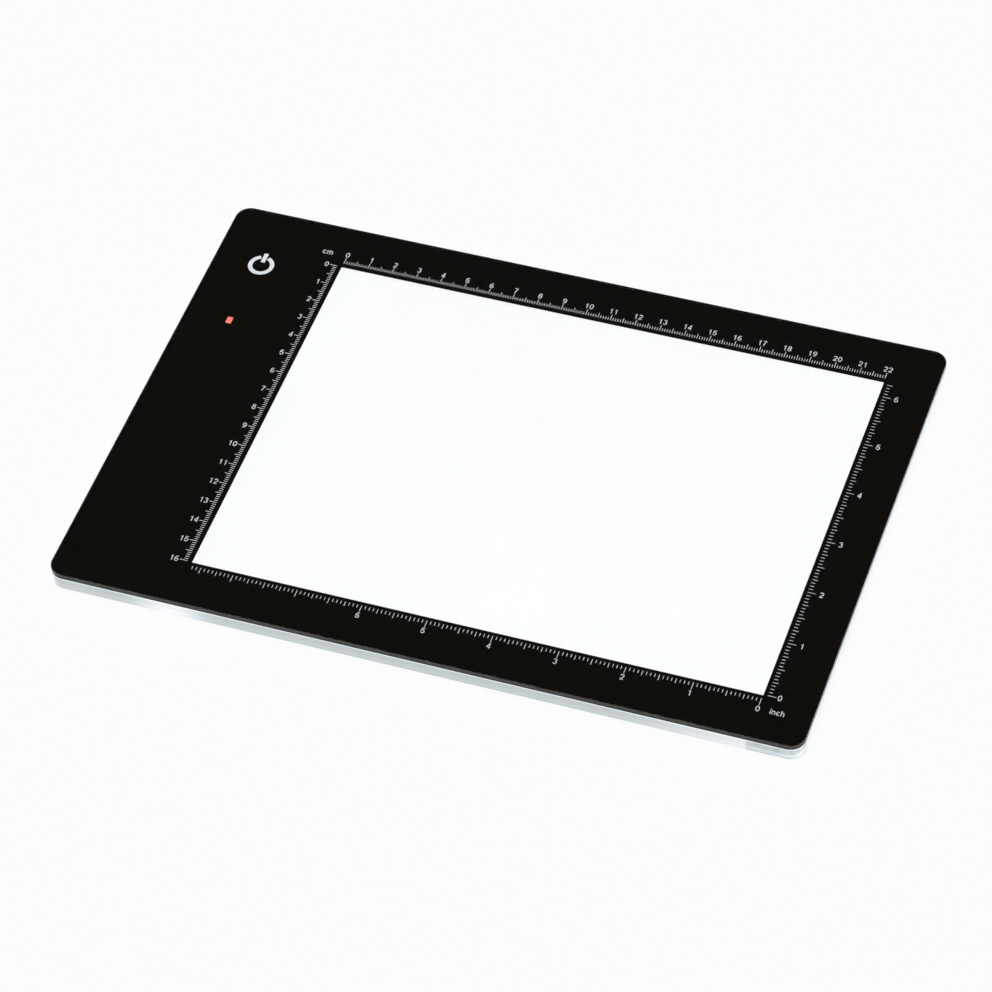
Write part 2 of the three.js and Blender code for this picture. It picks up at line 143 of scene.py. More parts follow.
class Recipe:
    """The node tree of one material, with a Principled shader on its output."""

    def __init__(self, name: str, **constants: Any) -> None:
        """Starts a material.

        Args:
            name: The material's name.
            constants: Values for the shader's own sockets, with _ for the spaces in their names.
        """
        self.material = bpy.data.materials.new(name)
        self.material.use_nodes = True
        self.tree = self.material.node_tree
        self.tree.nodes.clear()
        output = self.tree.nodes.new("ShaderNodeOutputMaterial")
        self.shader = self.tree.nodes.new("ShaderNodeBsdfPrincipled")
        self.tree.links.new(self.shader.outputs["BSDF"], output.inputs["Surface"])
        for key, value in constants.items():
            self.shader.inputs[key.replace("_", " ")].default_value = value

    def node(self, kind: str, settings: Optional[dict] = None, **sockets: Any) -> bpy.types.Node:
        """Adds any other node.

        Args:
            kind: The node's type.
            settings: Its own settings, set first. "stops" holds a ramp's (position, colour) pairs.
            sockets: Values or wires for its inputs, with _ for the spaces in their names.

        Returns:
            The node.
        """
        node = self.tree.nodes.new(kind)
        for key, value in (settings or {}).items():
            if key == "stops":
                self._set_stops(node.color_ramp, value)
            else:
                setattr(node, key, value)
        for key, value in sockets.items():
            self.feed(node.inputs[key.replace("_", " ")], value)
        return node

    @staticmethod
    def _set_stops(ramp: bpy.types.ColorRamp, stops: Sequence[tuple[float, Colour]]) -> None:
        """Gives a colour ramp its stops."""
        while len(ramp.elements) < len(stops):
            ramp.elements.new(0.5)
        for element, (position, colour) in zip(ramp.elements, stops):
            element.position = position
            element.color = (*colour, 1.0)

    def feed(self, socket: bpy.types.NodeSocket, value: Any) -> None:
        """Links a wire to a socket, or sets the socket's value."""
        if isinstance(value, Wire):
            self.tree.links.new(value.socket, socket)
        else:
            socket.default_value = value

    def wire(self, node: bpy.types.Node, output: Union[str, int] = 0) -> Wire:
        """One output of a node, ready for arithmetic."""
        return Wire(self.tree, node.outputs[output])

    def place(self) -> Wire:
        """Object coordinates, in metres."""
        return self.wire(self.node("ShaderNodeTexCoord"), "Object")

    def stretched(self, scale: Sequence[float]) -> Wire:
        """Object coordinates, each axis multiplied by its own scale."""
        return self.wire(self.node("ShaderNodeMapping", Vector=self.place(), Scale=tuple(scale)))

    def noise(self, scale: float, detail: float = 2.0, vector: Optional[Wire] = None) -> Wire:
        """Cloudy noise from 0 to 1.

        Args:
            scale: Cells per metre of the vector.
            detail: How many finer layers are added.
            vector: The coordinates, or object coordinates where it is left out.

        Returns:
            The noise's value.
        """
        return self.wire(self.node("ShaderNodeTexNoise", Vector=vector or self.place(),
                                   Scale=scale, Detail=detail), "Fac")

    def ramp(self, value: Wire, *stops: tuple[float, Colour]) -> Wire:
        """A colour for each value, by a ramp."""
        return self.wire(self.node("ShaderNodeValToRGB", {"stops": stops}, Fac=value), "Color")

    def clouded(self, cloud: Wire, tone: Colour, dip: float, low: float = 0.3,
                high: float = 0.7) -> Wire:
        """A tone that darkens where a cloud is low.

        Args:
            cloud: The cloud, from 0 to 1.
            tone: The full tone.
            dip: The share of the tone that is lost at the darkest.
            low: Where on the cloud the tone is darkest.
            high: Where on the cloud the tone is full.

        Returns:
            The colour.
        """
        return self.ramp(cloud, (low, faded(tone, 1 - dip)), (high, tone))

    def colour(self, value: Wire) -> None:
        """Sets the base colour."""
        self.feed(self.shader.inputs["Base Color"], value)

    def light(self, value: Wire) -> None:
        """Sets the colour of the surface's own light."""
        self.feed(self.shader.inputs["Emission Color"], value)

    def mix(self, share: Wire, first: Union[Wire, Colour], second: Union[Wire, Colour]) -> Wire:
        """A colour between two, at the first where share is 0."""
        node = self.node("ShaderNodeMix", {"data_type": "RGBA"})
        self.feed(node.inputs[0], share)
        for socket, value in zip((node.inputs[6], node.inputs[7]), (first, second)):
            self.feed(socket, value if isinstance(value, Wire) else (*value, 1.0))
        return self.wire(node, 2)

    def rough(self, value: Number) -> None:
        """Sets the roughness."""
        self.feed(self.shader.inputs["Roughness"], value)

    def bump(self, height: Wire, depth: float) -> None:
        """Raises the surface by a map, whose 1 stands above its 0 by the depth in metres."""
        node = self.node("ShaderNodeBump", Height=height, Distance=depth)
        self.feed(self.shader.inputs["Normal"], self.wire(node))

    def split(self, vector: Wire) -> tuple[Wire, Wire, Wire]:
        """The X, Y and Z of a vector."""
        node = self.node("ShaderNodeSeparateXYZ", Vector=vector)
        return self.wire(node, "X"), self.wire(node, "Y"), self.wire(node, "Z")

    def side(self, steep: float = 0.8, level: float = 0.9) -> Wire:
        """One on upright faces and bevels, and zero on level faces.

        Args:
            steep: The upward part of the normal below which a face counts as upright.
            level: The upward part of the normal above which a face counts as level.

        Returns:
            The mask.
        """
        _, _, rise = self.split(self.wire(self.node("ShaderNodeNewGeometry"), "Normal"))
        return 1 - rise.size().smooth(steep, level)

    def run(self, lean: float) -> Wire:
        """Coordinates that run round the outline in X and up the edge in Y.

        Args:
            lean: How far the X lines lean for each step up, so that cutter marks can slant.

        Returns:
            A vector for a texture.
        """
        x, y, z = self.split(self.place())
        return self.wire(self.node("ShaderNodeCombineXYZ", X=x + y + z * lean, Y=z))


# ---- finishes ------------------------------------------------------------------------------------


@dataclass(frozen=True)
class ClearAcrylic:
    """Clear cast acrylic: polished faces, and edges that the cutter left faintly streaked."""

    name: str
    tint: Colour = (0.97, 0.985, 0.985)
    edge_tint: Colour = (0.80, 0.86, 0.88)
    edge_roughness: float = 0.06
    edge_depth: float = 0.012 * MM
    # Painted glint: a faint light that the brighter edge streaks give off of their own.
    edge_glint: Colour = (0.024, 0.025, 0.027)
    streak_pitch: float = 0.0011
    streak_draw: float = 5.0
    streak_lean: float = 1.2
    smear_cells: float = 14.0
    dust: float = 0.02
    gloss: float = 0.4
    ior: float = 1.49

    def make(self) -> bpy.types.Material:
        """Builds the material: slanting cutter streaks on the edges and faintly handled faces."""
        recipe = Recipe(self.name, IOR=self.ior, Transmission_Weight=1.0, Emission_Strength=1.0,
                        Specular_IOR_Level=self.gloss)
        side = recipe.side()
        across, up = 1 / self.streak_pitch, 1 / (self.streak_draw * self.streak_pitch)
        streaks = recipe.noise(1.0, 3.0, recipe.wire(recipe.node(
            "ShaderNodeMapping", Vector=recipe.run(self.streak_lean), Scale=(across, up, 1.0))))
        handled = recipe.noise(self.smear_cells, 4.0).smooth(0.45, 0.8)
        recipe.rough(side * (self.edge_roughness * (0.6 + 0.8 * streaks))
                     + (1 - side) * (self.dust * (0.3 + handled)))
        recipe.bump(side * streaks, self.edge_depth)
        self.light_edges(recipe, side, streaks)
        return recipe.material

    def light_edges(self, recipe: Recipe, side: Wire, streaks: Wire) -> None:
        """Tints the edges, and gives their streaks a painted glint: a faint light of their own.

        Args:
            recipe: The material being built.
            side: One on the edges and zero on the faces.
            streaks: The cutter streaks, from 0 to 1.
        """
        recipe.colour(recipe.ramp(side, (0.0, self.tint), (1.0, self.edge_tint)))
        # Painted glint: the brighter streaks on the edges give off a faint light.
        glint = side * streaks.smooth(0.5, 0.7)
        recipe.light(recipe.ramp(glint, (0.0, (0.0, 0.0, 0.0)), (1.0, self.edge_glint)))


@dataclass(frozen=True)
class LitAcrylic(ClearAcrylic):
    """Clear acrylic round the light guide, whose cut edges carry a painted glow.

    The painted glow stands in partly for the LED light that leaks into the acrylic and partly for
    the light that clear edges let through from their surroundings. It is brightest beside the
    guide's lit ends, and a painted highlight runs along a line under the upper bevel. Past the
    guide's far end the acrylic is solid, so there the edge is clearer, and its painted glow is darker
    and a little mottled, with a painted highlight towards the corner and painted shade on the right
    flank. Each pair of lengths says where a change starts and where it is complete, as distances
    in metres from the edge that the name gives.
    """

    # Painted glow: the light that the edges give off, by its level.
    glow: tuple[tuple[float, Colour], ...] = (
        (0.0, (0.0, 0.0, 0.0)),
        (0.60, (0.53, 0.58, 0.60)),
        (0.80, (0.75, 0.78, 0.81)),
        (0.92, (0.90, 0.90, 0.92)),
    )
    end_tint: Colour = (0.045, 0.05, 0.052)
    # The painted glow's base level, its rise beside the guide's lit end and towards its far end.
    level: float = 0.53
    inlet: float = 0.33
    inlet_at: float = 1.0 * MM
    inlet_reach: float = 20.6 * MM
    far: float = 0.26
    far_before_end: float = 57.6 * MM
    far_past_end: float = 2.4 * MM
    # Painted shade: the glow is a little darker where the acrylic is solid past the guide.
    end_drop: float = 0.02
    end_before_end: tuple[float, float] = (3.5 * MM, 2.5 * MM)
    # Painted light and shade that mottle the glow where the acrylic is solid.
    facets: float = 0.35
    facet_cells: tuple[float, float, float] = (260.0, 260.0, 700.0)
    # Painted highlight: the glow rises past the guide's far end towards the corner.
    corner_lift: float = 0.14
    corner_past_end: float = 6.0 * MM
    # Painted shade: the glow drops on the right flank.
    flank_drop: float = 0.17
    flank_before_right: tuple[float, float] = (0.8 * MM, 0.1 * MM)
    # Painted highlight: a brighter line of the glow just under the upper bevel.
    rim: float = 0.24
    rim_below_top: tuple[float, float] = (0.9 * MM, 0.54 * MM)
    bevel_below_top: tuple[float, float] = (0.22 * MM, 0.12 * MM)
    cloud: float = 0.06
    cloud_cells: float = 120.0
    # Painted glint along the cutter streaks in the glow.
    streak_light: float = 0.02

    def light_edges(self, recipe: Recipe, side: Wire, streaks: Wire) -> None:
        """Tints the edges and paints light on them: a painted glow with painted highlights and shade.

        Args:
            recipe: The material being built.
            side: One on the edges and zero on the faces.
            streaks: The cutter streaks, from 0 to 1.
        """
        low, high = (corner.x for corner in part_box("light_guide"))
        right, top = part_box("body_frame")[1].x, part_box("body_frame")[1].z
        x, _, z = recipe.split(recipe.place())
        end = x.smooth(*(high - distance for distance in self.end_before_end))
        inlet = 1 - (x - (low + self.inlet_at)).size().smooth(0.0, self.inlet_reach)
        far = x.smooth(high - self.far_before_end, high + self.far_past_end) * (1 - end)
        # Painted highlight towards the corner, and painted shade on the right flank.
        corner = x.smooth(high + self.corner_past_end, right)
        flank = x.smooth(*(right - distance for distance in self.flank_before_right))
        # Painted highlight along the line under the upper bevel.
        rim = z.smooth(*(top - distance for distance in self.rim_below_top))
        # Painted light and shade that mottle the glow at the solid end.
        facets = (recipe.noise(1.0, 1.0, recipe.stretched(self.facet_cells)) - 0.5) * end
        cloud = (recipe.noise(self.cloud_cells, 2.0) - 0.5) * self.cloud
        # The painted glow's level: painted light added, painted shade taken away.
        level = (self.level + self.inlet * inlet + self.far * far + self.rim * rim + cloud
                 + self.streak_light * streaks + self.facets * facets + self.corner_lift * corner
                 - self.end_drop * end - self.flank_drop * flank)
        below = 1 - z.smooth(*(top - distance for distance in self.bevel_below_top))
        # The edges give off the painted glow, none of it on the upper bevel.
        recipe.light(recipe.ramp(side * level * below, *self.glow))
        cut = recipe.ramp(end, (0.0, self.edge_tint), (1.0, self.end_tint))
        recipe.colour(recipe.mix(side, self.tint, cut))


@dataclass(frozen=True)
class Ink:
    """Screen print: an even tone with the faint weave of the mesh in its gloss, and some dust."""

    name: str
    tone: Colour
    roughness: float = 0.45
    mesh_pitch: float = 0.12 * MM
    mesh_depth: float = 0.002 * MM
    cloud_cells: float = 25.0
    dip: float = 0.06
    dust: float = 0.0
    dust_cells: float = 1400.0
    dust_share: float = 0.3

    def make(self) -> bpy.types.Material:
        """Builds the material: a tone that clouds a little, paler specks and a fine printed mesh."""
        recipe = Recipe(self.name, Specular_IOR_Level=0.0)
        specks = recipe.noise(self.dust_cells, 0.0).smooth(0.76, 0.82)
        cloud = recipe.noise(self.cloud_cells, 3.0)
        dusty = tuple(channel + self.dust for channel in self.tone)
        recipe.colour(recipe.ramp(self.dust_share * specks + (1 - self.dust_share) * cloud,
                                  (0.2, faded(self.tone, 1 - self.dip)), (0.5, self.tone),
                                  (0.72, self.tone), (0.9, dusty)))
        weave = recipe.noise(1 / self.mesh_pitch, 1.0)
        recipe.rough(self.roughness + 0.1 * (weave - 0.5))
        recipe.bump(weave, self.mesh_depth)
        return recipe.material


@dataclass(frozen=True)
class DottedGuide:
    """The light guide: clear acrylic with rows of white dots that scatter the light upwards.

    The dots' rim is a pair of distances from a dot's middle, in shares of the pitch.
    """

    name: str
    tint: Colour = (0.95, 0.97, 0.97)
    dot: Colour = (0.98, 0.98, 0.98)
    pitch: float = 1.6 * MM
    rim: tuple[float, float] = (0.28, 0.34)
    uneven: float = 0.1
    uneven_cells: float = 18.0
    dot_roughness: float = 0.7
    clear_roughness: float = 0.08
    ior: float = 1.49

    def make(self) -> bpy.types.Material:
        """Builds the material: dots on an even grid, a little uneven in size."""
        recipe = Recipe(self.name, IOR=self.ior, Transmission_Weight=0.6)
        grid = recipe.stretched((1 / self.pitch, 1 / self.pitch, 0.0))
        cells = recipe.node("ShaderNodeTexVoronoi", Vector=grid, Scale=1.0, Randomness=0.0)
        wander = recipe.noise(self.uneven_cells, 1.0) * self.uneven
        clear = (recipe.wire(cells, "Distance") + wander).smooth(*self.rim)
        recipe.colour(recipe.ramp(clear, (0.0, self.dot), (1.0, self.tint)))
        recipe.rough(self.dot_roughness - clear * (self.dot_roughness - self.clear_roughness))
        return recipe.material


@dataclass(frozen=True)
class Glow:
    """A lit opal sheet: white light that clouds by a percent or two."""

    name: str
    tone: Colour
    strength: float
    dip: float = 0.015
    cloud_cells: float = 9.0
    body: Colour = (0.2, 0.2, 0.2)

    def make(self) -> bpy.types.Material:
        """Builds the material: clouded light over a grey body."""
        recipe = Recipe(self.name, Base_Color=(*self.body, 1.0), Emission_Strength=self.strength)
        cloud = recipe.noise(self.cloud_cells, 1.0)
        recipe.light(recipe.clouded(cloud, self.tone, self.dip))
        recipe.rough(0.45 + 0.1 * cloud)
        return recipe.material


@dataclass(frozen=True)
class Moulded:
    """Plastic, rubber, foam or ceramic: a grain, a clouded tone and a varied gloss."""

    name: str
    tone: Colour
    roughness: float = 0.5
    grain_pitch: float = 0.4 * MM
    grain_depth: float = 0.02 * MM
    dip: float = 0.12
    cloud_cells: float = 60.0

    def make(self) -> bpy.types.Material:
        """Builds the material from a cloud for the tone and a finer grain for the relief."""
        recipe = Recipe(self.name)
        cloud = recipe.noise(self.cloud_cells, 4.0)
        grain = recipe.noise(1 / self.grain_pitch, 3.0)
        recipe.colour(recipe.clouded(cloud, self.tone, self.dip))
        recipe.rough(self.roughness + 0.2 * (grain - 0.5) + 0.1 * (cloud - 0.5))
        recipe.bump(grain, self.grain_depth)
        return recipe.material


@dataclass(frozen=True)
class Metal:
    """Plated steel or foil: brushed along one way, with dull patches."""

    name: str
    tone: Colour
    roughness: float = 0.28
    brush: tuple[float, float, float] = (400.0, 9000.0, 9000.0)
    depth: float = 0.004 * MM
    dip: float = 0.15
    cloud_cells: float = 220.0

    def make(self) -> bpy.types.Material:
        """Builds the material from stretched noise for the brushing and a cloud for the dullness."""
        recipe = Recipe(self.name, Metallic=1.0)
        lines = recipe.noise(1.0, 2.0, recipe.stretched(self.brush))
        cloud = recipe.noise(self.cloud_cells, 3.0)
        recipe.colour(recipe.clouded(cloud, self.tone, self.dip, 0.35, 0.65))
        recipe.rough(self.roughness + 0.25 * (lines - 0.5) + 0.15 * (cloud - 0.5))
        recipe.bump(lines, self.depth)
        return recipe.material


@dataclass(frozen=True)
class TintedLens:
    """A tinted light pipe, lit from below."""

    name: str
    tone: Colour
    strength: float
    dip: float = 0.2
    cloud_cells: float = 900.0

    def make(self) -> bpy.types.Material:
        """Builds the material: a clouded tone that gives its own light."""
        recipe = Recipe(self.name, Emission_Strength=self.strength)
        cloud = recipe.noise(self.cloud_cells, 2.0)
        tone = recipe.clouded(cloud, self.tone, self.dip)
        recipe.colour(tone)
        recipe.light(tone)
        recipe.rough(0.3 + 0.1 * cloud)
        return recipe.material


MADE: dict[str, bpy.types.Material] = {}


class Finish(Enum):
    """The finishes of the light box. Each member holds the material's recipe."""

    COVER = ClearAcrylic("cover_acrylic", gloss=0.1)
    # The near-black edge tint shuts out the light through the body's edges; the painted glow stands
    # in.
    BODY = LitAcrylic("body_acrylic", edge_tint=(0.004, 0.0045, 0.005), edge_depth=0.006 * MM)
    GUIDE = DottedGuide("light_guide_acrylic")
    BLACK_PRINT = Ink("black_screen_ink", (0.0056, 0.0052, 0.0042), dust=0.05)
    WHITE_PRINT = Ink("white_screen_ink", (0.78, 0.82, 0.86))
    PALE_TAPE = Moulded("bonding_tape", (0.80, 0.82, 0.82), 0.4)
    OPAL = Glow("opal_sheet", (1.0, 1.0, 1.0), 0.775)
    RED_LENS = TintedLens("tinted_lens", (0.95, 0.17, 0.12), 0.6)
    WHITE_PLASTIC = Moulded("back_plate_plastic", (0.78, 0.80, 0.80), 0.45, 0.0005, 0.00003, 0.04)
    WHITE_FILM = Moulded("reflector_film", (0.92, 0.92, 0.91), 0.3, 0.0006, 0.000005, 0.03)
    RUBBER = Moulded("foot_rubber", (0.014, 0.014, 0.015), 0.8, 0.0003, 0.00003, 0.3)
    STEEL = Metal("plated_steel", (0.62, 0.63, 0.64))
    COPPER = Metal("enamelled_copper", (0.72, 0.30, 0.12), 0.3)
    GOLD = Metal("gilt_contact", (0.86, 0.64, 0.28), 0.25)
    TIN = Metal("tinned_pad", (0.70, 0.71, 0.72), 0.35, (3000.0, 3000.0, 3000.0))
    FOIL = Metal("pouch_foil", (0.60, 0.62, 0.65), 0.32, (900.0, 1200.0, 900.0), 0.00002)
    WHITE_BOARD = Moulded("white_solder_mask", (0.82, 0.84, 0.79), 0.35, 0.0002, 0.000004, 0.04)
    GREEN_BOARD = Moulded("green_solder_mask", (0.012, 0.11, 0.035), 0.3, 0.0002, 0.000006, 0.3)
    PHOSPHOR = Moulded("led_phosphor", (0.90, 0.70, 0.10), 0.35, 0.0001, 0.000004)
    BLACK_PLASTIC = Moulded("black_moulding", (0.010, 0.010, 0.011), 0.5, 0.0001, 0.000006)
    FERRITE = Moulded("sintered_ferrite", (0.04, 0.04, 0.045), 0.65, 0.0002, 0.00001)
    CERAMIC = Moulded("fired_ceramic", (0.48, 0.33, 0.18), 0.45, 0.0002, 0.000005)
    FOAM = Moulded("closed_cell_foam", (0.03, 0.032, 0.037), 0.95, 0.0005, 0.00008, 0.4)
    AMBER_FILM = Moulded("polyimide_film", (0.52, 0.20, 0.03), 0.3, 0.0008, 0.000004)
    RED_WIRE = Moulded("red_insulation", (0.48, 0.016, 0.013), 0.4, 0.0004, 0.000006)
    BLACK_WIRE = Moulded("black_insulation", (0.010, 0.010, 0.010), 0.4, 0.0004, 0.000006)
    NYLON = Moulded("natural_nylon", (0.80, 0.79, 0.70), 0.4, 0.0003, 0.000006)

    def material(self) -> bpy.types.Material:
        """The material itself, built the first time that it is asked for."""
        if self.name not in MADE:
            MADE[self.name] = self.value.make()
        return MADE[self.name]


# ---- meshes --------------------------------------------------------------------------------------


def new_piece(name: str, shape: Shape, finish: Finish) -> bpy.types.Object:
    """Makes a visible piece that rides on the light box's one body.

    Args:
        name: The piece's name.
        shape: Its vertices in metres, and its faces.
        finish: Its finish.

    Returns:
        The new object, at the origin.
    """
    vertices, faces = shape
    mesh = bpy.data.meshes.new(name)
    mesh.from_pydata(vertices.tolist(), [], [tuple(int(i) for i in face) for face in faces])
    mesh.validate()
    mesh.update()
    piece = bpy.data.objects.new(name, mesh)
    bpy.context.scene.collection.objects.link(piece)
    mesh.materials.append(finish.material())
    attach(piece, "root")
    LOG.info("%s: %d faces", name, len(mesh.polygons))
    return piece


def stand_for(node: str, shape: Shape, finish: Finish) -> None:
    """Shows a finer shape in a node's place."""
    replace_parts(new_piece(f"{node}_body", shape, finish), node)


def span(node: str) -> tuple[np.ndarray, np.ndarray]:
    """A node's lowest and highest corners as arrays."""
    low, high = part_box(node)
    return np.array(low), np.array(high)


BOX_CORNERS = np.array([[0, 0, 0], [1, 0, 0], [1, 1, 0], [0, 1, 0],
                        [0, 0, 1], [1, 0, 1], [1, 1, 1], [0, 1, 1]], float)
BOX_FACES = np.array([[0, 3, 2, 1], [4, 5, 6, 7], [0, 1, 5, 4],
                      [1, 2, 6, 5], [2, 3, 7, 6], [3, 0, 4, 7]])


def boxes(low: Sequence, high: Sequence) -> Shape:
    """Upright boxes, one or many.

    The eight corners of each box are the eight ways to pick its low or high X, Y and Z.

    Args:
        low: The lowest corner of the box, or of each box, one to a row.
        high: The highest corner of the box, or of each box, one to a row.

    Returns:
        The vertices and the four-sided faces.
    """
    low, high = np.atleast_2d(low, high)
    corners = low[:, None, :] + BOX_CORNERS[None] * (high - low)[:, None, :]
    faces = BOX_FACES[None] + 8 * np.arange(len(low))[:, None, None]
    return corners.reshape(-1, 3), faces.reshape(-1, 4)


def loft(rings: np.ndarray) -> Shape:
    """A closed skin over rings of points.

    Point k of each ring is joined to point k of the next ring by a band of four-sided faces, and a
    flat cap closes the first ring and the last.

    Args:
        rings: Points by ring, place in the ring and axis. Each ring runs counterclockwise as seen
            from where the rings are heading.

    Returns:
        The vertices and the faces.
    """
    stations, points, _ = rings.shape
    near = points * np.arange(stations - 1)[:, None] + np.arange(points)
    ahead = points * np.arange(stations - 1)[:, None] + np.roll(np.arange(points), -1)
    walls = np.stack([near, ahead, ahead + points, near + points], -1).reshape(-1, 4)
    last = points * (stations - 1) + np.arange(points)
    return rings.reshape(-1, 3), walls.tolist() + [np.arange(points)[::-1].tolist(), last.tolist()]


def stroke(path: np.ndarray, half: float, slab: Slab) -> Shape:
    """A flat line of even width with square ends.

    A rectangle of the line's width and depth is carried along the path. At each point it stands
    across the mean of the two directions that meet there, widened by the mitre between them.

    Args:
        path: The middle of the line, one point to a row.
        half: Half of the line's width.
        slab: The heights of its two faces.

    Returns:
        The vertices and the faces, closed at both ends.
    """
    step = np.diff(path, axis=0)
    step /= np.linalg.norm(step, axis=1)[:, None]
    before, after = np.vstack([step[:1], step]), np.vstack([step, step[-1:]])
    mean = before + after
    mean /= np.linalg.norm(mean, axis=1)[:, None]
    reach = half / np.sum(mean * after, axis=1)[:, None]
    across = np.stack([-mean[:, 1], mean[:, 0]], 1) * reach
    left, right = path + across, path - across
    low, high = (np.full((len(path), 1), z) for z in slab)
    return loft(np.stack([np.hstack([right, low]), np.hstack([left, low]),
                          np.hstack([left, high]), np.hstack([right, high])], 1))


def plate(outline: np.ndarray, holes: Sequence[np.ndarray], slab: Slab) -> Shape:
    """A flat sheet with holes.

    Its two faces are the outline less the holes, cut into triangles, and each edge stands on one
    four-sided wall.

    Args:
        outline: The outer edge's points, counterclockwise from above.
        holes: The points of each hole, clockwise from above.
        slab: The heights of its two faces.

    Returns:
        The vertices and the faces.
    """
    loops = [outline, *holes]
    flat = np.vstack(loops)
    triangles = np.array(tessellate_polygon([[Vector((*p, 0.0)) for p in loop] for loop in loops]))
    a, b, c = (flat[triangles[:, k]] for k in range(3))
    across, along = b - a, c - a
    flipped = across[:, 0] * along[:, 1] < across[:, 1] * along[:, 0]
    triangles[flipped] = triangles[flipped][:, ::-1]
    count, start, walls = len(flat), 0, []
    for loop in loops:
        near = start + np.arange(len(loop))
        ahead = np.roll(near, -1)
        walls.append(np.stack([near, ahead, ahead + count, near + count], 1))
        start += len(loop)
    vertices = np.vstack([np.hstack([flat, np.full((count, 1), z)]) for z in slab])
    caps = np.vstack([triangles[:, ::-1], triangles + count])
    return vertices, caps.tolist() + np.vstack(walls).tolist()


def arc(centre: Sequence[float], rx: float, ry: float, start: float, end: float,
        steps: int = 16) -> np.ndarray:
    """Points on an ellipse between two angles in degrees, the cosine across and the sine up."""
    angle = np.radians(np.linspace(start, end, steps + 1))
    return np.stack([centre[0] + rx * np.cos(angle), centre[1] + ry * np.sin(angle)], 1)


def line(*points: tuple[float, float]) -> np.ndarray:
    """A line through points."""
    return np.array(points, float)


def rounded(low: np.ndarray, high: np.ndarray, radius: float, steps: int = 24) -> np.ndarray:
    """A rectangle's outline, counterclockwise, with a quarter circle at each corner."""
    (x0, y0), (x1, y1) = low + radius, high - radius
    corners = ((x0, y0, 180), (x1, y0, 270), (x1, y1, 0), (x0, y1, 90))
    return np.vstack([arc((x, y), radius, radius, start, start + 90, steps)
                      for x, y, start in corners])


LEAST_RADIUS = 0.02 * MM
TIER_STEPS = 4


def tiers(low: np.ndarray, high: np.ndarray, radius: float,
          levels: Sequence[tuple[float, float]]) -> Shape:
    """A solid of stacked outlines: a rounded rectangle drawn in by an inset at each height.

    Args:
        low: The rectangle's lowest X and Y.
        high: The rectangle's highest X and Y.
        radius: Its corner radius where the inset is zero.
        levels: The inset and the height of each outline, in order.

    Returns:
        The vertices and the faces.
    """
    rings = []
    for inset, z in levels:
        flat = rounded(low + inset, high - inset, max(radius - inset, LEAST_RADIUS), TIER_STEPS)
        rings.append(np.hstack([flat, np.full((len(flat), 1), z)]))
    return loft(np.stack(rings))


def turned(node: str, profile: Sequence[tuple[float, float]], sides: int) -> Shape:
    """A turned solid about a node's upright middle line.

    Each point of the profile becomes a circle: the middle plus its radius times the cosine and the
    sine of an angle, at its height.

    Args:
        node: The node whose middle is the axis.
        profile: The radius and the height of each circle, in order.
        sides: How many points a circle has.

    Returns:
        The vertices and the faces.
    """
    low, high = span(node)
    x, y, _ = (low + high) / 2
    angle = 2 * np.pi * np.arange(sides) / sides
    radius, height = np.array(profile, float).T
    rings = np.stack([x + radius[:, None] * np.cos(angle), y + radius[:, None] * np.sin(angle),
                      np.repeat(height[:, None], sides, 1)], -1)
    return loft(rings)


def joined(shapes: Sequence[Shape]) -> Shape:
    """Several shapes as one list of vertices and one of faces."""
    faces: list[list[int]] = []
    start = 0
    for points, polygons in shapes:
        faces.extend([int(i) + start for i in polygon] for polygon in polygons)
        start += len(points)
    return np.concatenate([points for points, _ in shapes]), faces


class Align(Enum):
    """Where a figure stands against its point. Each value is the share of its width to its left."""

    LEFT = 0.0
    CENTRE = 0.5
    RIGHT = 1.0


FIGURE_WIDTH = 0.56
LETTER_WIDTHS = {"c": 0.50, "h": 0.52, "i": 0.16, "m": 0.80, "n": 0.52}


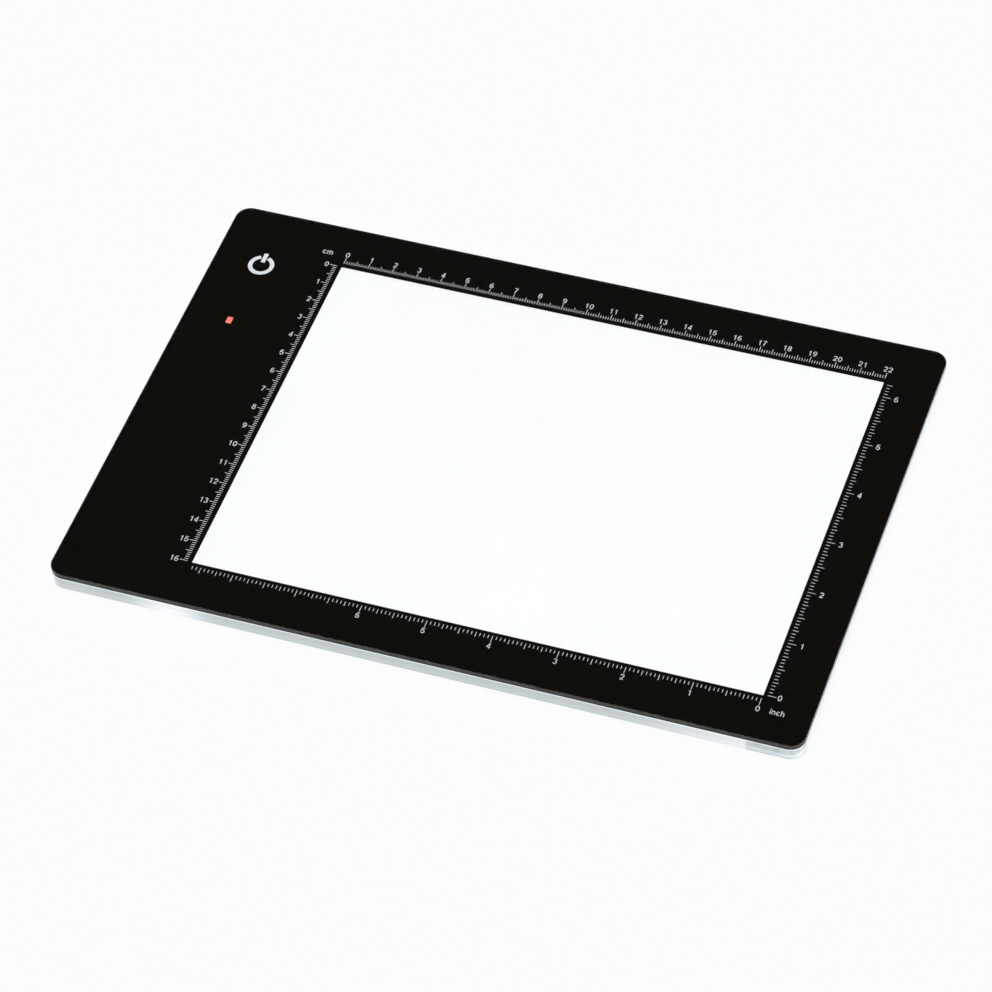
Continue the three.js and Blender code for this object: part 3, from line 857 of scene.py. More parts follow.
@dataclass(frozen=True)
class Lettering:
    """Plain upright figures and letters, drawn with a pen of even width.

    Each glyph is drawn on a field one unit high, with its pen strokes' middles inside it.
    """

    pen: float = 0.11
    space: float = 0.10
    widen: float = 1.15

    @staticmethod
    def strokes(sign: str) -> list[np.ndarray]:
        """The pen strokes of a glyph.

        Args:
            sign: One figure or letter.

        Returns:
            The middle line of each stroke, in units of the figures' height.
        """
        nine = [arc((0.28, 0.69), 0.21, 0.25, 0, 360, 20), arc((0.24, 0.55), 0.25, 0.49, -120, 20)]
        stem, leg = line((0.08, 0.0), (0.08, 0.72)), line((0.44, 0.47), (0.44, 0.0))
        arch = arc((0.26, 0.46), 0.18, 0.21, 180, 0)
        glyphs = {
            "0": [arc((0.28, 0.5), 0.21, 0.44, 0, 360, 24)],
            "1": [line((0.34, 0.0), (0.34, 1.0)), line((0.13, 0.73), (0.30, 0.80), (0.34, 0.98))],
            "2": [np.vstack([arc((0.28, 0.69), 0.20, 0.25, 170, -35), line((0.07, 0.06))]),
                  line((0.05, 0.06), (0.51, 0.06))],
            "3": [arc((0.27, 0.73), 0.18, 0.21, 160, -90), arc((0.27, 0.29), 0.21, 0.23, 90, -160)],
            "4": [line((0.38, 0.0), (0.38, 0.96), (0.06, 0.34)), line((0.03, 0.29), (0.54, 0.29))],
            "5": [line((0.48, 0.94), (0.12, 0.94)),
                  np.vstack([line((0.15, 0.94), (0.09, 0.48)),
                             arc((0.27, 0.33), 0.22, 0.27, 125, -155)])],
            "6": [np.array([FIGURE_WIDTH, 1.0]) - part for part in nine],
            "7": [line((0.05, 0.94), (0.51, 0.94)), line((0.48, 0.92), (0.30, 0.55), (0.21, 0.0))],
            "8": [arc((0.28, 0.73), 0.18, 0.21, 0, 360, 20),
                  arc((0.28, 0.28), 0.21, 0.23, 0, 360, 20)],
            "9": nine,
            "c": [arc((0.27, 0.36), 0.20, 0.31, 42, 318)],
            "h": [line((0.08, 0.0), (0.08, 1.0)), arch, leg],
            "i": [stem, line((0.08, 0.86), (0.08, 1.0))],
            "m": [stem, arc((0.24, 0.47), 0.16, 0.20, 180, 0), line((0.40, 0.48), (0.40, 0.0)),
                  arc((0.56, 0.47), 0.16, 0.20, 180, 0), line((0.72, 0.48), (0.72, 0.0))],
            "n": [stem, arch, leg],
        }
        return glyphs[sign]

    def draw(self, text: str, height: float, at: np.ndarray, align: Align,
             slab: Slab) -> list[Shape]:
        """Text as flat strokes, centred up and down on a point.

        Args:
            text: What it says.
            height: The height of its figures.
            at: The point that it stands against.
            align: Where it stands against that point.
            slab: The heights of its two faces.

        Returns:
            One shape for each stroke.
        """
        placed: list[np.ndarray] = []
        pen_x = 0.0
        for sign in text:
            placed += [part * [self.widen, 1.0] + [pen_x, 0.0] for part in self.strokes(sign)]
            pen_x += LETTER_WIDTHS.get(sign, FIGURE_WIDTH) * self.widen + self.space
        shift = np.array([align.value * (pen_x - self.space), 0.5])
        half = self.pen * height / 2
        return [stroke(at + (part - shift) * height, half, slab) for part in placed]


# ---- printed face --------------------------------------------------------------------------------


@dataclass(frozen=True)
class Rule:
    """One printed rule beside an edge of the window.

    start is the zero mark's place on the rule box, along is the way that the figures grow and out is
    the way that the marks point. steps holds (every, length) pairs: each mark takes the length of the
    last pair whose step divides its number. figures is the highest figure, and zero_in is how much
    closer the zero stands to its mark.
    """

    name: str
    start: tuple[float, float]
    along: tuple[int, int]
    out: tuple[int, int]
    pitch: float
    count: int
    gap: float
    steps: tuple[tuple[int, float], ...]
    per_figure: int
    figures: int
    figure_gap: float
    align: Align = Align.CENTRE
    zero_in: float = 0.0
    stroke: float = 0.2 * MM

    def marks(self, origin: np.ndarray, slab: Slab) -> Shape:
        """The marks as thin boxes.

        Each mark's foot stands at the origin plus its number times the pitch along the rule, and its
        tip is the foot plus its length.

        Args:
            origin: The rule box's front left corner.
            slab: The heights of their two faces.

        Returns:
            The vertices and the faces.
        """
        number = np.arange(self.count + 1)
        length = np.zeros(len(number))
        for every, reach in self.steps:
            length = np.where(number % every == 0, reach, length)
        along, out = np.array(self.along, float), np.array(self.out, float)
        foot = origin + self.start + number[:, None] * self.pitch * along + out * self.gap
        tip = foot + out * length[:, None]
        half = np.abs(along) * self.stroke / 2
        low, high = np.minimum(foot, tip) - half, np.maximum(foot, tip) + half
        z0, z1 = (np.full((len(number), 1), z) for z in slab)
        return boxes(np.hstack([low, z0]), np.hstack([high, z1]))

    def lettered(self, origin: np.ndarray, slab: Slab, height: float) -> list[Shape]:
        """The figures, as one shape for each pen stroke."""
        shapes = []
        for figure in range(self.figures + 1):
            step = figure * self.per_figure * self.pitch
            gap = self.figure_gap - (0.0 if figure else self.zero_in)
            at = origin + self.start + step * np.array(self.along) + gap * np.array(self.out)
            shapes += Lettering().draw(str(figure), height, at, self.align, slab)
        return shapes


@dataclass
class PrintedFace:
    """The print under the clear cover: the black film and the white rules, labels and symbol.

    Places are measured from the rule box's front left corner. Each label is its text, its middle and
    the height of its figures.
    """

    rule_x: float = 220 * MM
    rule_y: float = 160 * MM
    inch: float = 25.4 * MM
    guide_margin: float = 2.5 * MM
    rule_offset: tuple[float, float] = (0.2 * MM, 0.32 * MM)
    figure_height: float = 2.55 * MM
    labels: tuple[tuple[str, tuple[float, float], float], ...] = (
        ("cm", (-8.25 * MM, 166.55 * MM), 2.7 * MM),
        ("inch", (227.3 * MM, -6.65 * MM), 2.45 * MM),
    )
    corner_radius: float = 6 * MM
    film_inset: float = 0.01 * MM
    lens_rim: float = 0.6 * MM
    sunk: float = 0.01 * MM
    ink_gap: float = 0.004 * MM
    ink: float = 0.006 * MM
    symbol_at: tuple[float, float] = (-31.1 * MM, 152.0 * MM)
    symbol_radius: float = 5.2 * MM
    symbol_stroke: float = 1.7 * MM
    symbol_gap: float = 3.0 * MM
    symbol_steps: int = 72
    bar_from: float = 1.6 * MM
    bar_to: float = 6.5 * MM
    origin: np.ndarray = field(init=False)
    film_top: float = field(init=False)
    slab: Slab = field(init=False)

    def __post_init__(self) -> None:
        """Finds the rule box's corner and the ink's heights from the frame."""
        self.origin = span("diffuser_sheet")[0][:2] + self.guide_margin + self.rule_offset
        self.film_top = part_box("cover_sheet")[0].z + self.sunk
        lower = self.film_top + self.ink_gap
        self.slab = (lower, lower + self.ink)

    def rules(self) -> list[Rule]:
        """The four rules: centimetres at the rear and left, inches at the front and right."""
        in_cm = {"pitch": 1 * MM, "per_figure": 10,
                 "steps": ((1, 1.5 * MM), (5, 2.5 * MM), (10, 3.0 * MM))}
        in_inches = {"pitch": self.inch / 16, "per_figure": 16, "figures": 6,
                     "steps": ((1, 1.5 * MM), (4, 2.1 * MM), (8, 2.6 * MM), (16, 3.1 * MM))}
        rear_left, front_right = (0.0, self.rule_y), (self.rule_x, 0.0)
        return [
            Rule("rule_rear", rear_left, (1, 0), (0, 1), count=220, figures=22, gap=1.9 * MM,
                 figure_gap=6.75 * MM, **in_cm),
            Rule("rule_left", rear_left, (0, -1), (-1, 0), count=160, figures=16, gap=2.1 * MM,
                 figure_gap=5.6 * MM, align=Align.RIGHT, **in_cm),
            Rule("rule_front", front_right, (-1, 0), (0, -1), count=138, gap=1.9 * MM,
                 figure_gap=6.75 * MM, **in_inches),
            Rule("rule_right", front_right, (0, 1), (1, 0), count=100, gap=1.8 * MM,
                 figure_gap=6.3 * MM, align=Align.LEFT, zero_in=0.8 * MM, **in_inches),
        ]

    def build(self) -> None:
        """Prints the face."""
        self._film()
        pieces = {rule.name: [rule.marks(self.origin, self.slab),
                              *rule.lettered(self.origin, self.slab, self.figure_height)]
                  for rule in self.rules()}
        pieces |= {"unit_labels": self._labels(), "switch_symbol": self._symbol()}
        for name, shapes in pieces.items():
            new_piece(name, joined(shapes), Finish.WHITE_PRINT)

    def _film(self) -> None:
        """Makes the black film in the cover's lower face, open at the window and the lens."""
        low, high = (corner[:2] for corner in span("cover_sheet"))
        outline = rounded(low + self.film_inset, high - self.film_inset,
                          self.corner_radius - self.film_inset)
        holes = []
        for node, margin in (("diffuser_sheet", self.guide_margin),
                             ("indicator_light_pipe", self.lens_rim)):
            low, high = span(node)
            (x0, y0), (x1, y1) = low[:2] + margin, high[:2] - margin
            holes.append(line((x0, y0), (x0, y1), (x1, y1), (x1, y0)))
        slab = (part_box("mask_film")[0].z, self.film_top)
        piece = new_piece("black_film", plate(outline, holes, slab), Finish.BLACK_PRINT)
        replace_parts(piece, "mask_film")

    def _labels(self) -> list[Shape]:
        """The two unit labels, beside the zeros of their rules."""
        return [shape for text, place, height in self.labels
                for shape in Lettering().draw(text, height, self.origin + place, Align.CENTRE,
                                              self.slab)]

    def _symbol(self) -> list[Shape]:
        """The switch symbol: a ring, open at the rear, with a bar standing in the opening."""
        x, y = self.origin + self.symbol_at
        half = self.symbol_stroke / 2
        middle = self.symbol_radius - half
        opening = math.degrees(math.asin(self.symbol_gap / 2 / middle))
        path = arc((x, y), middle, middle, 90 + opening, 450 - opening, self.symbol_steps)
        bar = boxes([x - half, y + self.bar_from, self.slab[0]],
                    [x + half, y + self.bar_to, self.slab[1]])
        return [stroke(path, half, self.slab), bar]


# ---- dressing the frame's own nodes --------------------------------------------------------------


@dataclass(frozen=True)
class Dresser:
    """Gives the frame's nodes their finishes, by the start of each node's name."""

    finishes: tuple[tuple[str, Finish], ...] = (
        ("cover_sheet", Finish.COVER),
        ("body_frame", Finish.BODY),
        ("mask_film", Finish.BLACK_PRINT),
        ("bonding_tape", Finish.PALE_TAPE),
        ("back_plate", Finish.WHITE_PLASTIC),
        ("screw_", Finish.STEEL),
        ("foot_", Finish.RUBBER),
        ("diffuser_sheet", Finish.OPAL),
        ("light_guide", Finish.GUIDE),
        ("reflector_sheet", Finish.WHITE_FILM),
        ("led_bar_", Finish.WHITE_BOARD),
        ("led_lead_", Finish.AMBER_FILM),
        ("led_driver", Finish.BLACK_PLASTIC),
        ("led_", Finish.PHOSPHOR),
        ("indicator_led", Finish.PHOSPHOR),
        ("indicator_light_pipe", Finish.RED_LENS),
        ("control_board", Finish.GREEN_BOARD),
        ("battery_protection_board", Finish.GREEN_BOARD),
        ("board_tape", Finish.FOAM),
        ("battery_tape", Finish.FOAM),
        ("touch_electrode", Finish.FOAM),
        ("touch_controller", Finish.BLACK_PLASTIC),
        ("charge_controller", Finish.BLACK_PLASTIC),
        ("power_inductor", Finish.FERRITE),
        ("input_capacitor", Finish.CERAMIC),
        ("output_capacitor", Finish.CERAMIC),
        ("battery_cell", Finish.FOIL),
        ("battery_plug", Finish.NYLON),
        ("battery_socket", Finish.NYLON),
        ("battery_wire_red", Finish.RED_WIRE),
        ("battery_wire_black", Finish.BLACK_WIRE),
        ("usb_socket_shell", Finish.STEEL),
        ("usb_socket_tongue", Finish.BLACK_PLASTIC),
    )

    def build(self) -> None:
        """Assigns every node's material, and lets light through the clear ones.

        Raises:
            ValueError: If a node has no finish.
        """
        for name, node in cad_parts.items():
            finish = next((f for start, f in self.finishes if name.startswith(start)), None)
            if finish is None:
                raise ValueError(f"no finish for {name}")
            node.data.materials.clear()
            node.data.materials.append(finish.material())
            node.visible_shadow = finish not in (Finish.COVER, Finish.BODY)
        LOG.info("dressed %d nodes", len(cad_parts))


# ---- finer shapes for plain nodes ----------------------------------------------------------------


@dataclass(frozen=True)
class LightBars:
    """The LED packages on both bars: a white cup round a phosphor window, and tinned pads."""

    count: int = 10
    corner: float = 0.15 * MM
    lip: float = 0.08 * MM
    wall: float = 0.35 * MM
    deep: float = 0.30 * MM
    taper: float = 0.1 * MM
    window: float = 0.22 * MM
    window_inset: float = 0.36 * MM
    window_taper: float = 0.09 * MM
    window_gap: float = 0.01 * MM
    dome_inset: float = 0.25 * MM
    dome_share: float = 0.2
    pad_wide: float = 1.4 * MM
    pad_long: float = 0.8 * MM
    pad_thick: float = 0.05 * MM

    def build(self) -> None:
        """Makes the packages of both bars."""
        for side, sign in (("left", 1), ("right", -1)):
            windows, pads = [], []
            for number in range(1, self.count + 1):
                node = f"led_{side}_{number}"
                low, high = span(node)
                cup, window = self._package(low, high, sign)
                stand_for(node, cup, Finish.NYLON)
                windows.append(window)
                pads += self._pads(low, high, sign)
            new_piece(f"led_windows_{side}", joined(windows), Finish.PHOSPHOR)
            new_piece(f"led_pads_{side}", joined(pads), Finish.TIN)

    def _package(self, low: np.ndarray, high: np.ndarray, sign: int) -> list[Shape]:
        """A package that faces the light guide.

        Its shapes are worked out with their own Z pointing ahead, and then turned to face +X or -X.

        Args:
            low: The package's lowest corner.
            high: The package's highest corner.
            sign: Which way it faces along X.

        Returns:
            The white cup, open ahead, and the slightly domed phosphor in it.
        """
        axes = [1, 2] if sign > 0 else [2, 1]
        back, front = sorted((sign * low[0], sign * high[0]))
        floor, inset = front - self.deep + self.window_gap, self.window_inset
        cup = ((0.0, back), (0.0, front - self.lip), (self.lip, front), (self.wall, front),
               (self.wall + self.taper, front - self.deep))
        window = ((inset + self.window_taper, floor),
                  (inset, floor + self.window * (1 - self.dome_share)),
                  (inset + self.dome_inset, floor + self.window))
        shapes = []
        for levels in (cup, window):
            points, faces = tiers(low[axes], high[axes], self.corner, levels)
            x, y, z = points.T
            shapes.append((np.stack([z, x, y] if sign > 0 else [-z, y, x], 1), faces))
        return shapes

    def _pads(self, low: np.ndarray, high: np.ndarray, sign: int) -> list[Shape]:
        """The tinned pads on the bar at the package's two ends."""
        front = low[0] if sign > 0 else high[0]
        x0, x1 = sorted((front, front + sign * self.pad_thick))
        z0, z1 = (low[2] + high[2] - self.pad_wide) / 2, (low[2] + high[2] + self.pad_wide) / 2
        return [boxes([x0, y0, z0], [x1, y0 + self.pad_long, z1])
                for y0 in (low[1] - self.pad_long, high[1])]


@dataclass(frozen=True)
class Chip:
    """A chip: a chamfered package between two rows of gull-wing leads."""

    node: str
    lift: float = 0.12 * MM
    chamfer: float = 0.12 * MM
    band: float = 0.10 * MM
    crown_inset: float = 0.18 * MM
    crown: float = 0.04 * MM
    lead_wide: float = 0.32 * MM
    lead_thick: float = 0.16 * MM
    lead_reach: float = 0.75 * MM
    lead_root: float = 0.1 * MM
    lead_bends: tuple[float, float] = (0.3, 0.55)
    lead_pitch: float = 0.95 * MM
    row_ends: float = 0.4 * MM

    def build(self) -> None:
        """Makes the package and its leads."""
        low, high = span(self.node)
        right, left = high[0] - self.lead_reach, low[0] + self.lead_reach
        base, top = low[2] + self.lift, high[2]
        waist = (base + top) / 2
        levels = ((self.chamfer, base), (0.0, waist - self.band / 2), (0.0, waist + self.band / 2),
                  (self.chamfer, top - self.crown), (self.crown_inset, top))
        package = tiers(np.array([left, low[1]]), np.array([right, high[1]]), self.chamfer, levels)
        stand_for(self.node, package, Finish.BLACK_PLASTIC)
        out, rise, along, faces = self._lead(waist, low[2] + self.lead_thick / 2)
        count = int((high[1] - low[1] - self.row_ends) / self.lead_pitch)
        leads = []
        for row in range(count):
            y = (low[1] + high[1]) / 2 + (row - (count - 1) / 2) * self.lead_pitch
            leads += [(np.stack([right + out, y - along, rise], 1), faces),
                      (np.stack([left - out, y + along, rise], 1), faces)]
        new_piece(f"{self.node}_leads", joined(leads), Finish.TIN)

    def _lead(self, waist: float, foot: float) -> tuple[np.ndarray, np.ndarray, np.ndarray, list]:
        """One lead, which leaves the package's waist and bends down to its foot.

        Args:
            waist: The height that it leaves the package at.
            foot: The height of the middle of its foot.

        Returns:
            How far out, how high and how far along the row its points are, and its faces.
        """
        bend, heel = (share * self.lead_reach for share in self.lead_bends)
        path = line((-self.lead_root, waist), (bend, waist), (heel, foot), (self.lead_reach, foot))
        points, faces = stroke(path, self.lead_thick / 2, (-self.lead_wide / 2, self.lead_wide / 2))
        return *points.T, faces


@dataclass(frozen=True)
class Capacitor:
    """A fired ceramic block between two tinned end caps."""

    node: str
    cap: float = 0.5 * MM
    step: float = 0.04 * MM
    edge: float = 0.08 * MM

    def build(self) -> None:
        """Makes the block and its end caps."""
        low, high = span(self.node)
        inset = np.array([self.step, self.cap, self.step])
        stand_for(self.node, self._block(low + inset, high - inset), Finish.CERAMIC)
        rest = np.array([0.0, high[1] - low[1] - self.cap, 0.0])
        ends = [self._block(low, high - rest), self._block(low + rest, high)]
        new_piece(f"{self.node}_ends", joined(ends), Finish.TIN)

    def _block(self, low: np.ndarray, high: np.ndarray) -> Shape:
        """A block between two corners, with its lower and upper edges cut off."""
        edge, z0, z1 = self.edge, low[2], high[2]
        return tiers(low[:2], high[:2], edge,
                     ((edge, z0), (0.0, z0 + edge), (0.0, z1 - edge), (edge, z1)))


@dataclass(frozen=True)
class Coil:
    """A ferrite drum with copper wound between its flanges."""

    node: str = "power_inductor"
    flange: float = 0.5 * MM
    edge: float = 0.1 * MM
    core_share: float = 0.45
    wound_share: float = 0.86
    turns: int = 5
    turn_steps: int = 8
    drum_sides: int = 48
    winding_sides: int = 40

    def build(self) -> None:
        """Makes the drum and its winding."""
        low, high = span(self.node)
        radius, z0, z1, edge = (high[0] - low[0]) / 2, low[2], high[2], self.edge
        core, start, end = self.core_share * radius, z0 + self.flange, z1 - self.flange
        drum = ((radius - edge, z0), (radius, z0 + edge), (radius, start), (core, start),
                (core, end), (radius, end), (radius, z1 - edge), (radius - edge, z1))
        stand_for(self.node, turned(self.node, drum, self.drum_sides), Finish.FERRITE)
        wire = (end - start) / self.turns / 2
        outer = self.wound_share * radius - wire
        swing = np.radians(np.linspace(-90, 90, self.turn_steps + 1))
        bulges = [(outer + wire * math.cos(a), start + wire * (1 + 2 * turn + math.sin(a)))
                  for turn in range(self.turns) for a in swing]
        profile = [(core, start), *bulges[1:-1], (core, end)]
        winding = turned(self.node, profile, self.winding_sides)
        new_piece(f"{self.node}_winding", winding, Finish.COPPER)


@dataclass(frozen=True)
class BatteryConnector:
    """The battery's socket, an open cup with two pins, and its plug, with two ridges on top."""

    corner: float = 0.3 * MM
    edge: float = 0.1 * MM
    wall: float = 0.7 * MM
    floor: float = 0.6 * MM
    pin: float = 0.5 * MM
    pin_root: float = 0.06 * MM
    pin_below_rim: float = 0.2 * MM
    pin_taper: float = 0.2 * MM
    pin_places: tuple[float, float] = (-1.0 * MM, 1.0 * MM)
    ridge: float = 0.3 * MM
    ridge_root: float = 0.05 * MM
    ridge_wide: float = 0.6 * MM
    ridge_ends: float = 1.0 * MM
    ridge_places: tuple[float, float] = (0.8 * MM, 2.2 * MM)

    def build(self) -> None:
        """Makes the socket with its pins, and the plug."""
        low, high = span("battery_socket")
        cup = ((0.0, low[2]), (0.0, high[2] - self.edge), (self.edge, high[2]),
               (self.wall, high[2]), (self.wall, low[2] + self.floor))
        stand_for("battery_socket", tiers(low[:2], high[:2], self.corner, cup), Finish.NYLON)
        half, tip = self.pin / 2, high[2] - self.pin_below_rim
        levels = ((0.0, low[2] + self.floor - self.pin_root), (0.0, tip - self.pin_taper),
                  (half / 2, tip))
        middles = [(low + high)[:2] / 2 + [place, 0.0] for place in self.pin_places]
        pins = [tiers(middle - half, middle + half, half / 2, levels) for middle in middles]
        new_piece("battery_socket_pins", joined(pins), Finish.TIN)
        stand_for("battery_plug", joined(self._plug()), Finish.NYLON)

    def _plug(self) -> list[Shape]:
        """The plug's body and the ridges that run across it."""
        low, high = span("battery_plug")
        edge, top = self.edge, high[2] - self.ridge
        levels = ((edge, low[2]), (0.0, low[2] + edge), (0.0, top - edge), (edge, top))
        shapes = [tiers(low[:2], high[:2], self.corner, levels)]
        for place in self.ridge_places:
            near = np.array([low[0] + self.ridge_ends, low[1] + place])
            far = np.array([high[0] - self.ridge_ends, low[1] + place + self.ridge_wide])
            levels = ((0.0, top - self.ridge_root), (edge, high[2]))
            shapes.append(tiers(near, far, edge, levels))
        return shapes


@dataclass(frozen=True)
class ChargingContacts:
    """The gilt contacts under the charging socket's tongue."""

    count: int = 5
    pitch: float = 0.65 * MM
    wide: float = 0.4 * MM
    thick: float = 0.04 * MM
    root: float = 0.5 * MM
    mouth: float = 0.15 * MM

    def build(self) -> None:
        """Makes the contacts as one piece."""
        low, high = span("usb_socket_tongue")
        x = (low[0] + high[0]) / 2 + (np.arange(self.count) - (self.count - 1) / 2) * self.pitch
        level, half = np.ones(self.count), self.wide / 2
        strips = boxes(np.stack([x - half, level * (low[1] + self.root),
                                 level * (low[2] - self.thick)], 1),
                       np.stack([x + half, level * (high[1] - self.mouth), level * low[2]], 1))
        new_piece("usb_socket_contacts", strips, Finish.GOLD)


@dataclass(frozen=True)
class Cell:
    """The pouch cell: a crowned foil body, the flat seam at its end, and two tabs.

    lower and upper hold pairs, in order from the bottom: how far the outline is drawn in, and how far
    it lies from the cell's lower or upper face.
    """

    corner: float = 2.0 * MM
    lower: tuple[tuple[float, float], ...] = (
        (1.1 * MM, 0.0), (0.45 * MM, 0.25 * MM), (0.1 * MM, 0.8 * MM), (0.0, 1.4 * MM))
    upper: tuple[tuple[float, float], ...] = (
        (0.0, 1.4 * MM), (0.1 * MM, 0.8 * MM), (0.5 * MM, 0.3 * MM), (1.4 * MM, 0.1 * MM),
        (5.0 * MM, 0.0))
    seam: float = 4.5 * MM
    seam_thick: float = 0.3 * MM
    seam_height: float = 1.9 * MM
    seam_side: float = 0.6 * MM
    seam_corner: float = 0.3 * MM
    seam_root: float = 1.0 * MM
    tab_wide: float = 4.0 * MM
    tab_thick: float = 0.12 * MM
    tab_root: float = 0.5 * MM
    tab_places: tuple[float, float] = (-6 * MM, 6 * MM)

    def build(self) -> None:
        """Makes the cell and its tabs."""
        low, high = span("battery_cell")
        z0, z1, end = low[2], high[2], high[1] - self.seam
        levels = [(inset, z0 + rise) for inset, rise in self.lower]
        levels += [(inset, z1 - drop) for inset, drop in self.upper]
        body = tiers(low[:2], np.array([high[0], end]), self.corner, levels)
        middle, half = z0 + self.seam_height, self.seam_thick / 2
        seam = tiers(np.array([low[0] + self.seam_side, end - self.seam_root]),
                     np.array([high[0] - self.seam_side, high[1]]), self.seam_corner,
                     ((0.0, middle - half), (0.0, middle + half)))
        stand_for("battery_cell", joined([body, seam]), Finish.FOIL)
        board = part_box("battery_protection_board")[0].y
        wide, thick = self.tab_wide / 2, self.tab_thick / 2
        tabs = [boxes([x - wide, high[1] - self.tab_root, middle - thick],
                      [x + wide, board, middle + thick])
                for x in ((low[0] + high[0]) / 2 + np.array(self.tab_places))]
        new_piece("battery_cell_tabs", joined(tabs), Finish.TIN)


@dataclass(frozen=True)
class Feet:
    """The rubber feet: discs with a rolled edge and a shallow dish underneath."""

    dish: float = 0.12 * MM
    rim: float = 1.1 * MM
    roll: float = 0.25 * MM
    roll_steps: int = 6
    sides: int = 64

    def build(self) -> None:
        """Makes the four feet."""
        for corner in ("front_left", "front_right", "rear_left", "rear_right"):
            node = f"foot_{corner}"
            low, high = span(node)
            radius, z0, z1, roll = (high[0] - low[0]) / 2, low[2], high[2], self.roll
            edge = arc((radius - roll, z0 + roll), roll, roll, 270, 360, self.roll_steps)
            profile = [(radius - self.rim - self.dish, z0 + self.dish), (radius - self.rim, z0),
                       *edge.tolist(), (radius, z1)]
            stand_for(node, turned(node, profile, self.sides), Finish.RUBBER)


# ---- studio --------------------------------------------------------------------------------------


@dataclass(frozen=True)
class Softbox:
    """A square soft light that faces the object, and that glossy faces don't mirror."""

    azimuth: float
    elevation: float
    distance: float
    side: float
    power: float

    def build(self, name: str) -> None:
        """Hangs the light. Azimuth 0 is in front of the object, and it grows towards +X."""
        turn, rise = math.radians(self.azimuth), math.radians(self.elevation)
        away = Vector((math.sin(turn) * math.cos(rise), -math.cos(turn) * math.cos(rise),
                       math.sin(rise)))
        data = bpy.data.lights.new(name, "AREA")
        data.shape = "SQUARE"
        data.size = self.side
        data.energy = self.power
        lamp = bpy.data.objects.new(name, data)
        lamp.location = away * self.distance
        lamp.rotation_euler = away.to_track_quat("Z", "Y").to_euler()
        lamp.visible_glossy = False
        bpy.context.scene.collection.objects.link(lamp)


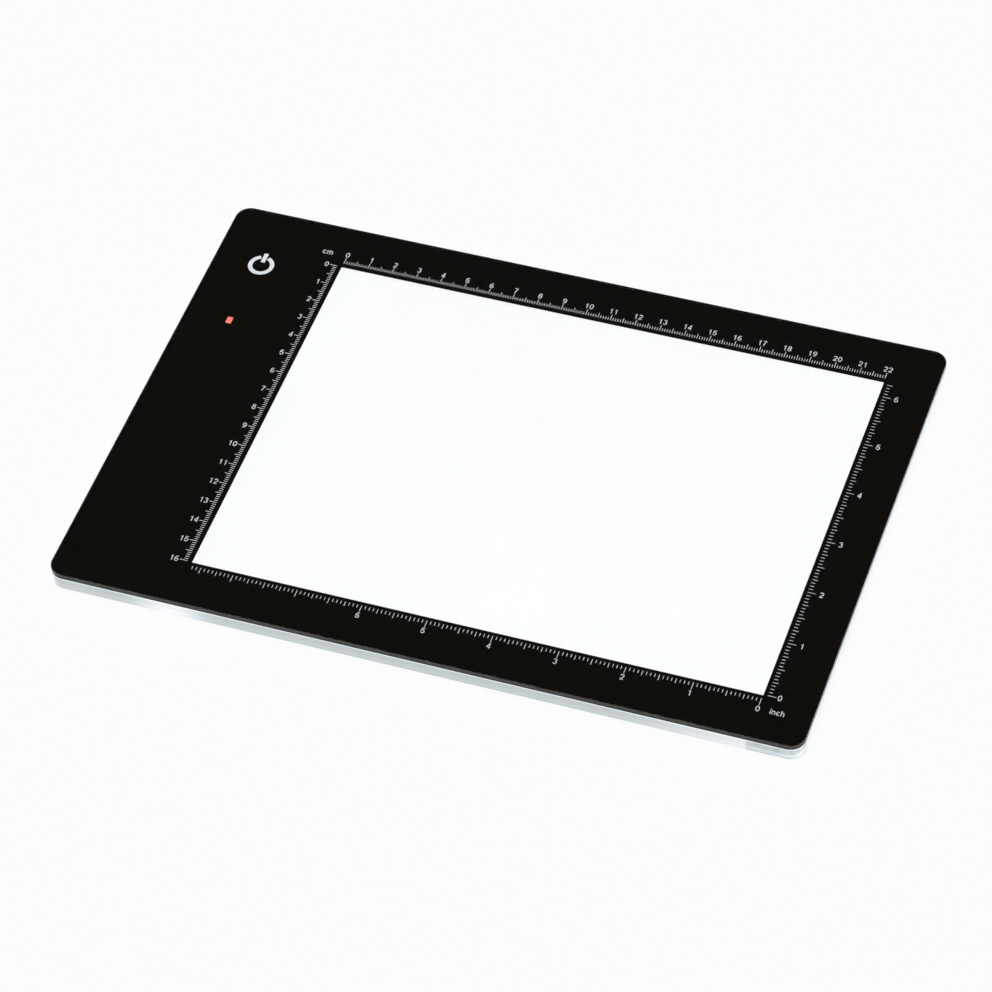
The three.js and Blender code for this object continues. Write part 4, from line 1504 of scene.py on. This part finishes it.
@dataclass
class Studio:
    """A pale lit floor, four high softboxes, a pale horizon and the camera."""

    floor_side: float = 14.0
    floor_tone: Colour = (0.945, 0.945, 0.945)
    floor_body: Colour = (0.05, 0.05, 0.05)
    floor_dip: float = 0.01
    floor_cells: float = 300.0
    floor_drop: float = 0.05 * MM
    lamp_azimuths: tuple[float, ...] = (45, 135, 225, 315)
    lamp_elevation: float = 70
    lamp_distance: float = 2.6
    lamp_side: float = 0.9
    lamp_power: float = 13.0
    sky: float = 0.97
    horizon: float = 0.34
    horizon_fade: tuple[float, float] = (0.05, 0.35)
    azimuth: float = 21.961
    elevation: float = 48.058
    roll: float = -4.059
    lens: float = 159.43
    eye: tuple[float, float, float] = (397.58 * MM, -1034.39 * MM, 1219.85 * MM)

    def build(self) -> None:
        """Sets up the floor, lights, world and camera."""
        self._floor()
        for number, azimuth in enumerate(self.lamp_azimuths, 1):
            Softbox(azimuth, self.lamp_elevation, self.lamp_distance, self.lamp_side,
                    self.lamp_power).build(f"softbox_{number}")
        self._world()
        self._camera()
        bpy.context.scene.view_settings.view_transform = "Standard"

    def _floor(self) -> None:
        """A wide level sheet, a hair below the feet so that no two faces share a plane."""
        half, z = self.floor_side / 2, -self.floor_drop
        corners = [(-half, -half, z), (half, -half, z), (half, half, z), (-half, half, z)]
        mesh = bpy.data.meshes.new("floor")
        mesh.from_pydata(corners, [], [(0, 1, 2, 3)])
        floor = bpy.data.objects.new("floor", mesh)
        bpy.context.scene.collection.objects.link(floor)
        recipe = Recipe("floor_paper", Specular_IOR_Level=0.0, Emission_Strength=1.0,
                        Base_Color=(*self.floor_body, 1.0))
        grain = recipe.noise(self.floor_cells, 2.0)
        recipe.light(recipe.clouded(grain, self.floor_tone, self.floor_dip))
        recipe.rough(0.9 + 0.05 * grain)
        mesh.materials.append(recipe.material)

    def _world(self) -> None:
        """A sky that the camera sees as pale as the floor, and gloss as dark above its horizon."""
        world = bpy.data.worlds.new("studio")
        world.use_nodes = True
        bpy.context.scene.world = world
        tree = world.node_tree
        tree.nodes.clear()
        place = tree.nodes.new("ShaderNodeTexCoord")
        split = tree.nodes.new("ShaderNodeSeparateXYZ")
        tree.links.new(place.outputs["Generated"], split.inputs[0])
        height = Wire(tree, split.outputs["Z"])
        seen = Wire(tree, tree.nodes.new("ShaderNodeLightPath").outputs["Is Camera Ray"])
        mirrored = (1 - height.smooth(*self.horizon_fade)) * self.horizon
        level = seen * self.sky + (1 - seen) * mirrored
        background = tree.nodes.new("ShaderNodeBackground")
        background.inputs["Color"].default_value = (1.0, 1.0, 1.0, 1.0)
        tree.links.new(level.socket, background.inputs["Strength"])
        output = tree.nodes.new("ShaderNodeOutputWorld")
        tree.links.new(background.outputs[0], output.inputs["Surface"])

    def _camera(self) -> None:
        """The camera, placed from the middle of the window's top face."""
        low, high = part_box("diffuser_sheet")
        middle = Vector(((low.x + high.x) / 2, (low.y + high.y) / 2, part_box("cover_sheet")[1].z))
        data = bpy.data.cameras.new("camera")
        data.lens = self.lens
        data.clip_start = 0.01
        camera = bpy.data.objects.new("camera", data)
        aim = Euler((math.radians(90 - self.elevation), 0.0, math.radians(self.azimuth)))
        turn = aim.to_matrix() @ Matrix.Rotation(math.radians(self.roll), 3, "Z")
        camera.matrix_world = Matrix.Translation(middle + Vector(self.eye)) @ turn.to_4x4()
        bpy.context.scene.collection.objects.link(camera)
        bpy.context.scene.camera = camera


def main() -> None:
    """Builds the studio and the light box's looks, part by part."""
    logging.basicConfig(level=logging.INFO, format="%(name)s: %(message)s")
    chips = [Chip(node) for node in ("touch_controller", "led_driver", "charge_controller")]
    capacitors = [Capacitor(node) for node in ("input_capacitor", "output_capacitor")]
    for part in (Studio(), Dresser(), PrintedFace(), LightBars(), *chips, *capacitors, Coil(),
                 BatteryConnector(), ChargingContacts(), Cell(), Feet()):
        part.build()
        LOG.info("built: %s", type(part).__name__)


if __name__ == "__main__":
    main()
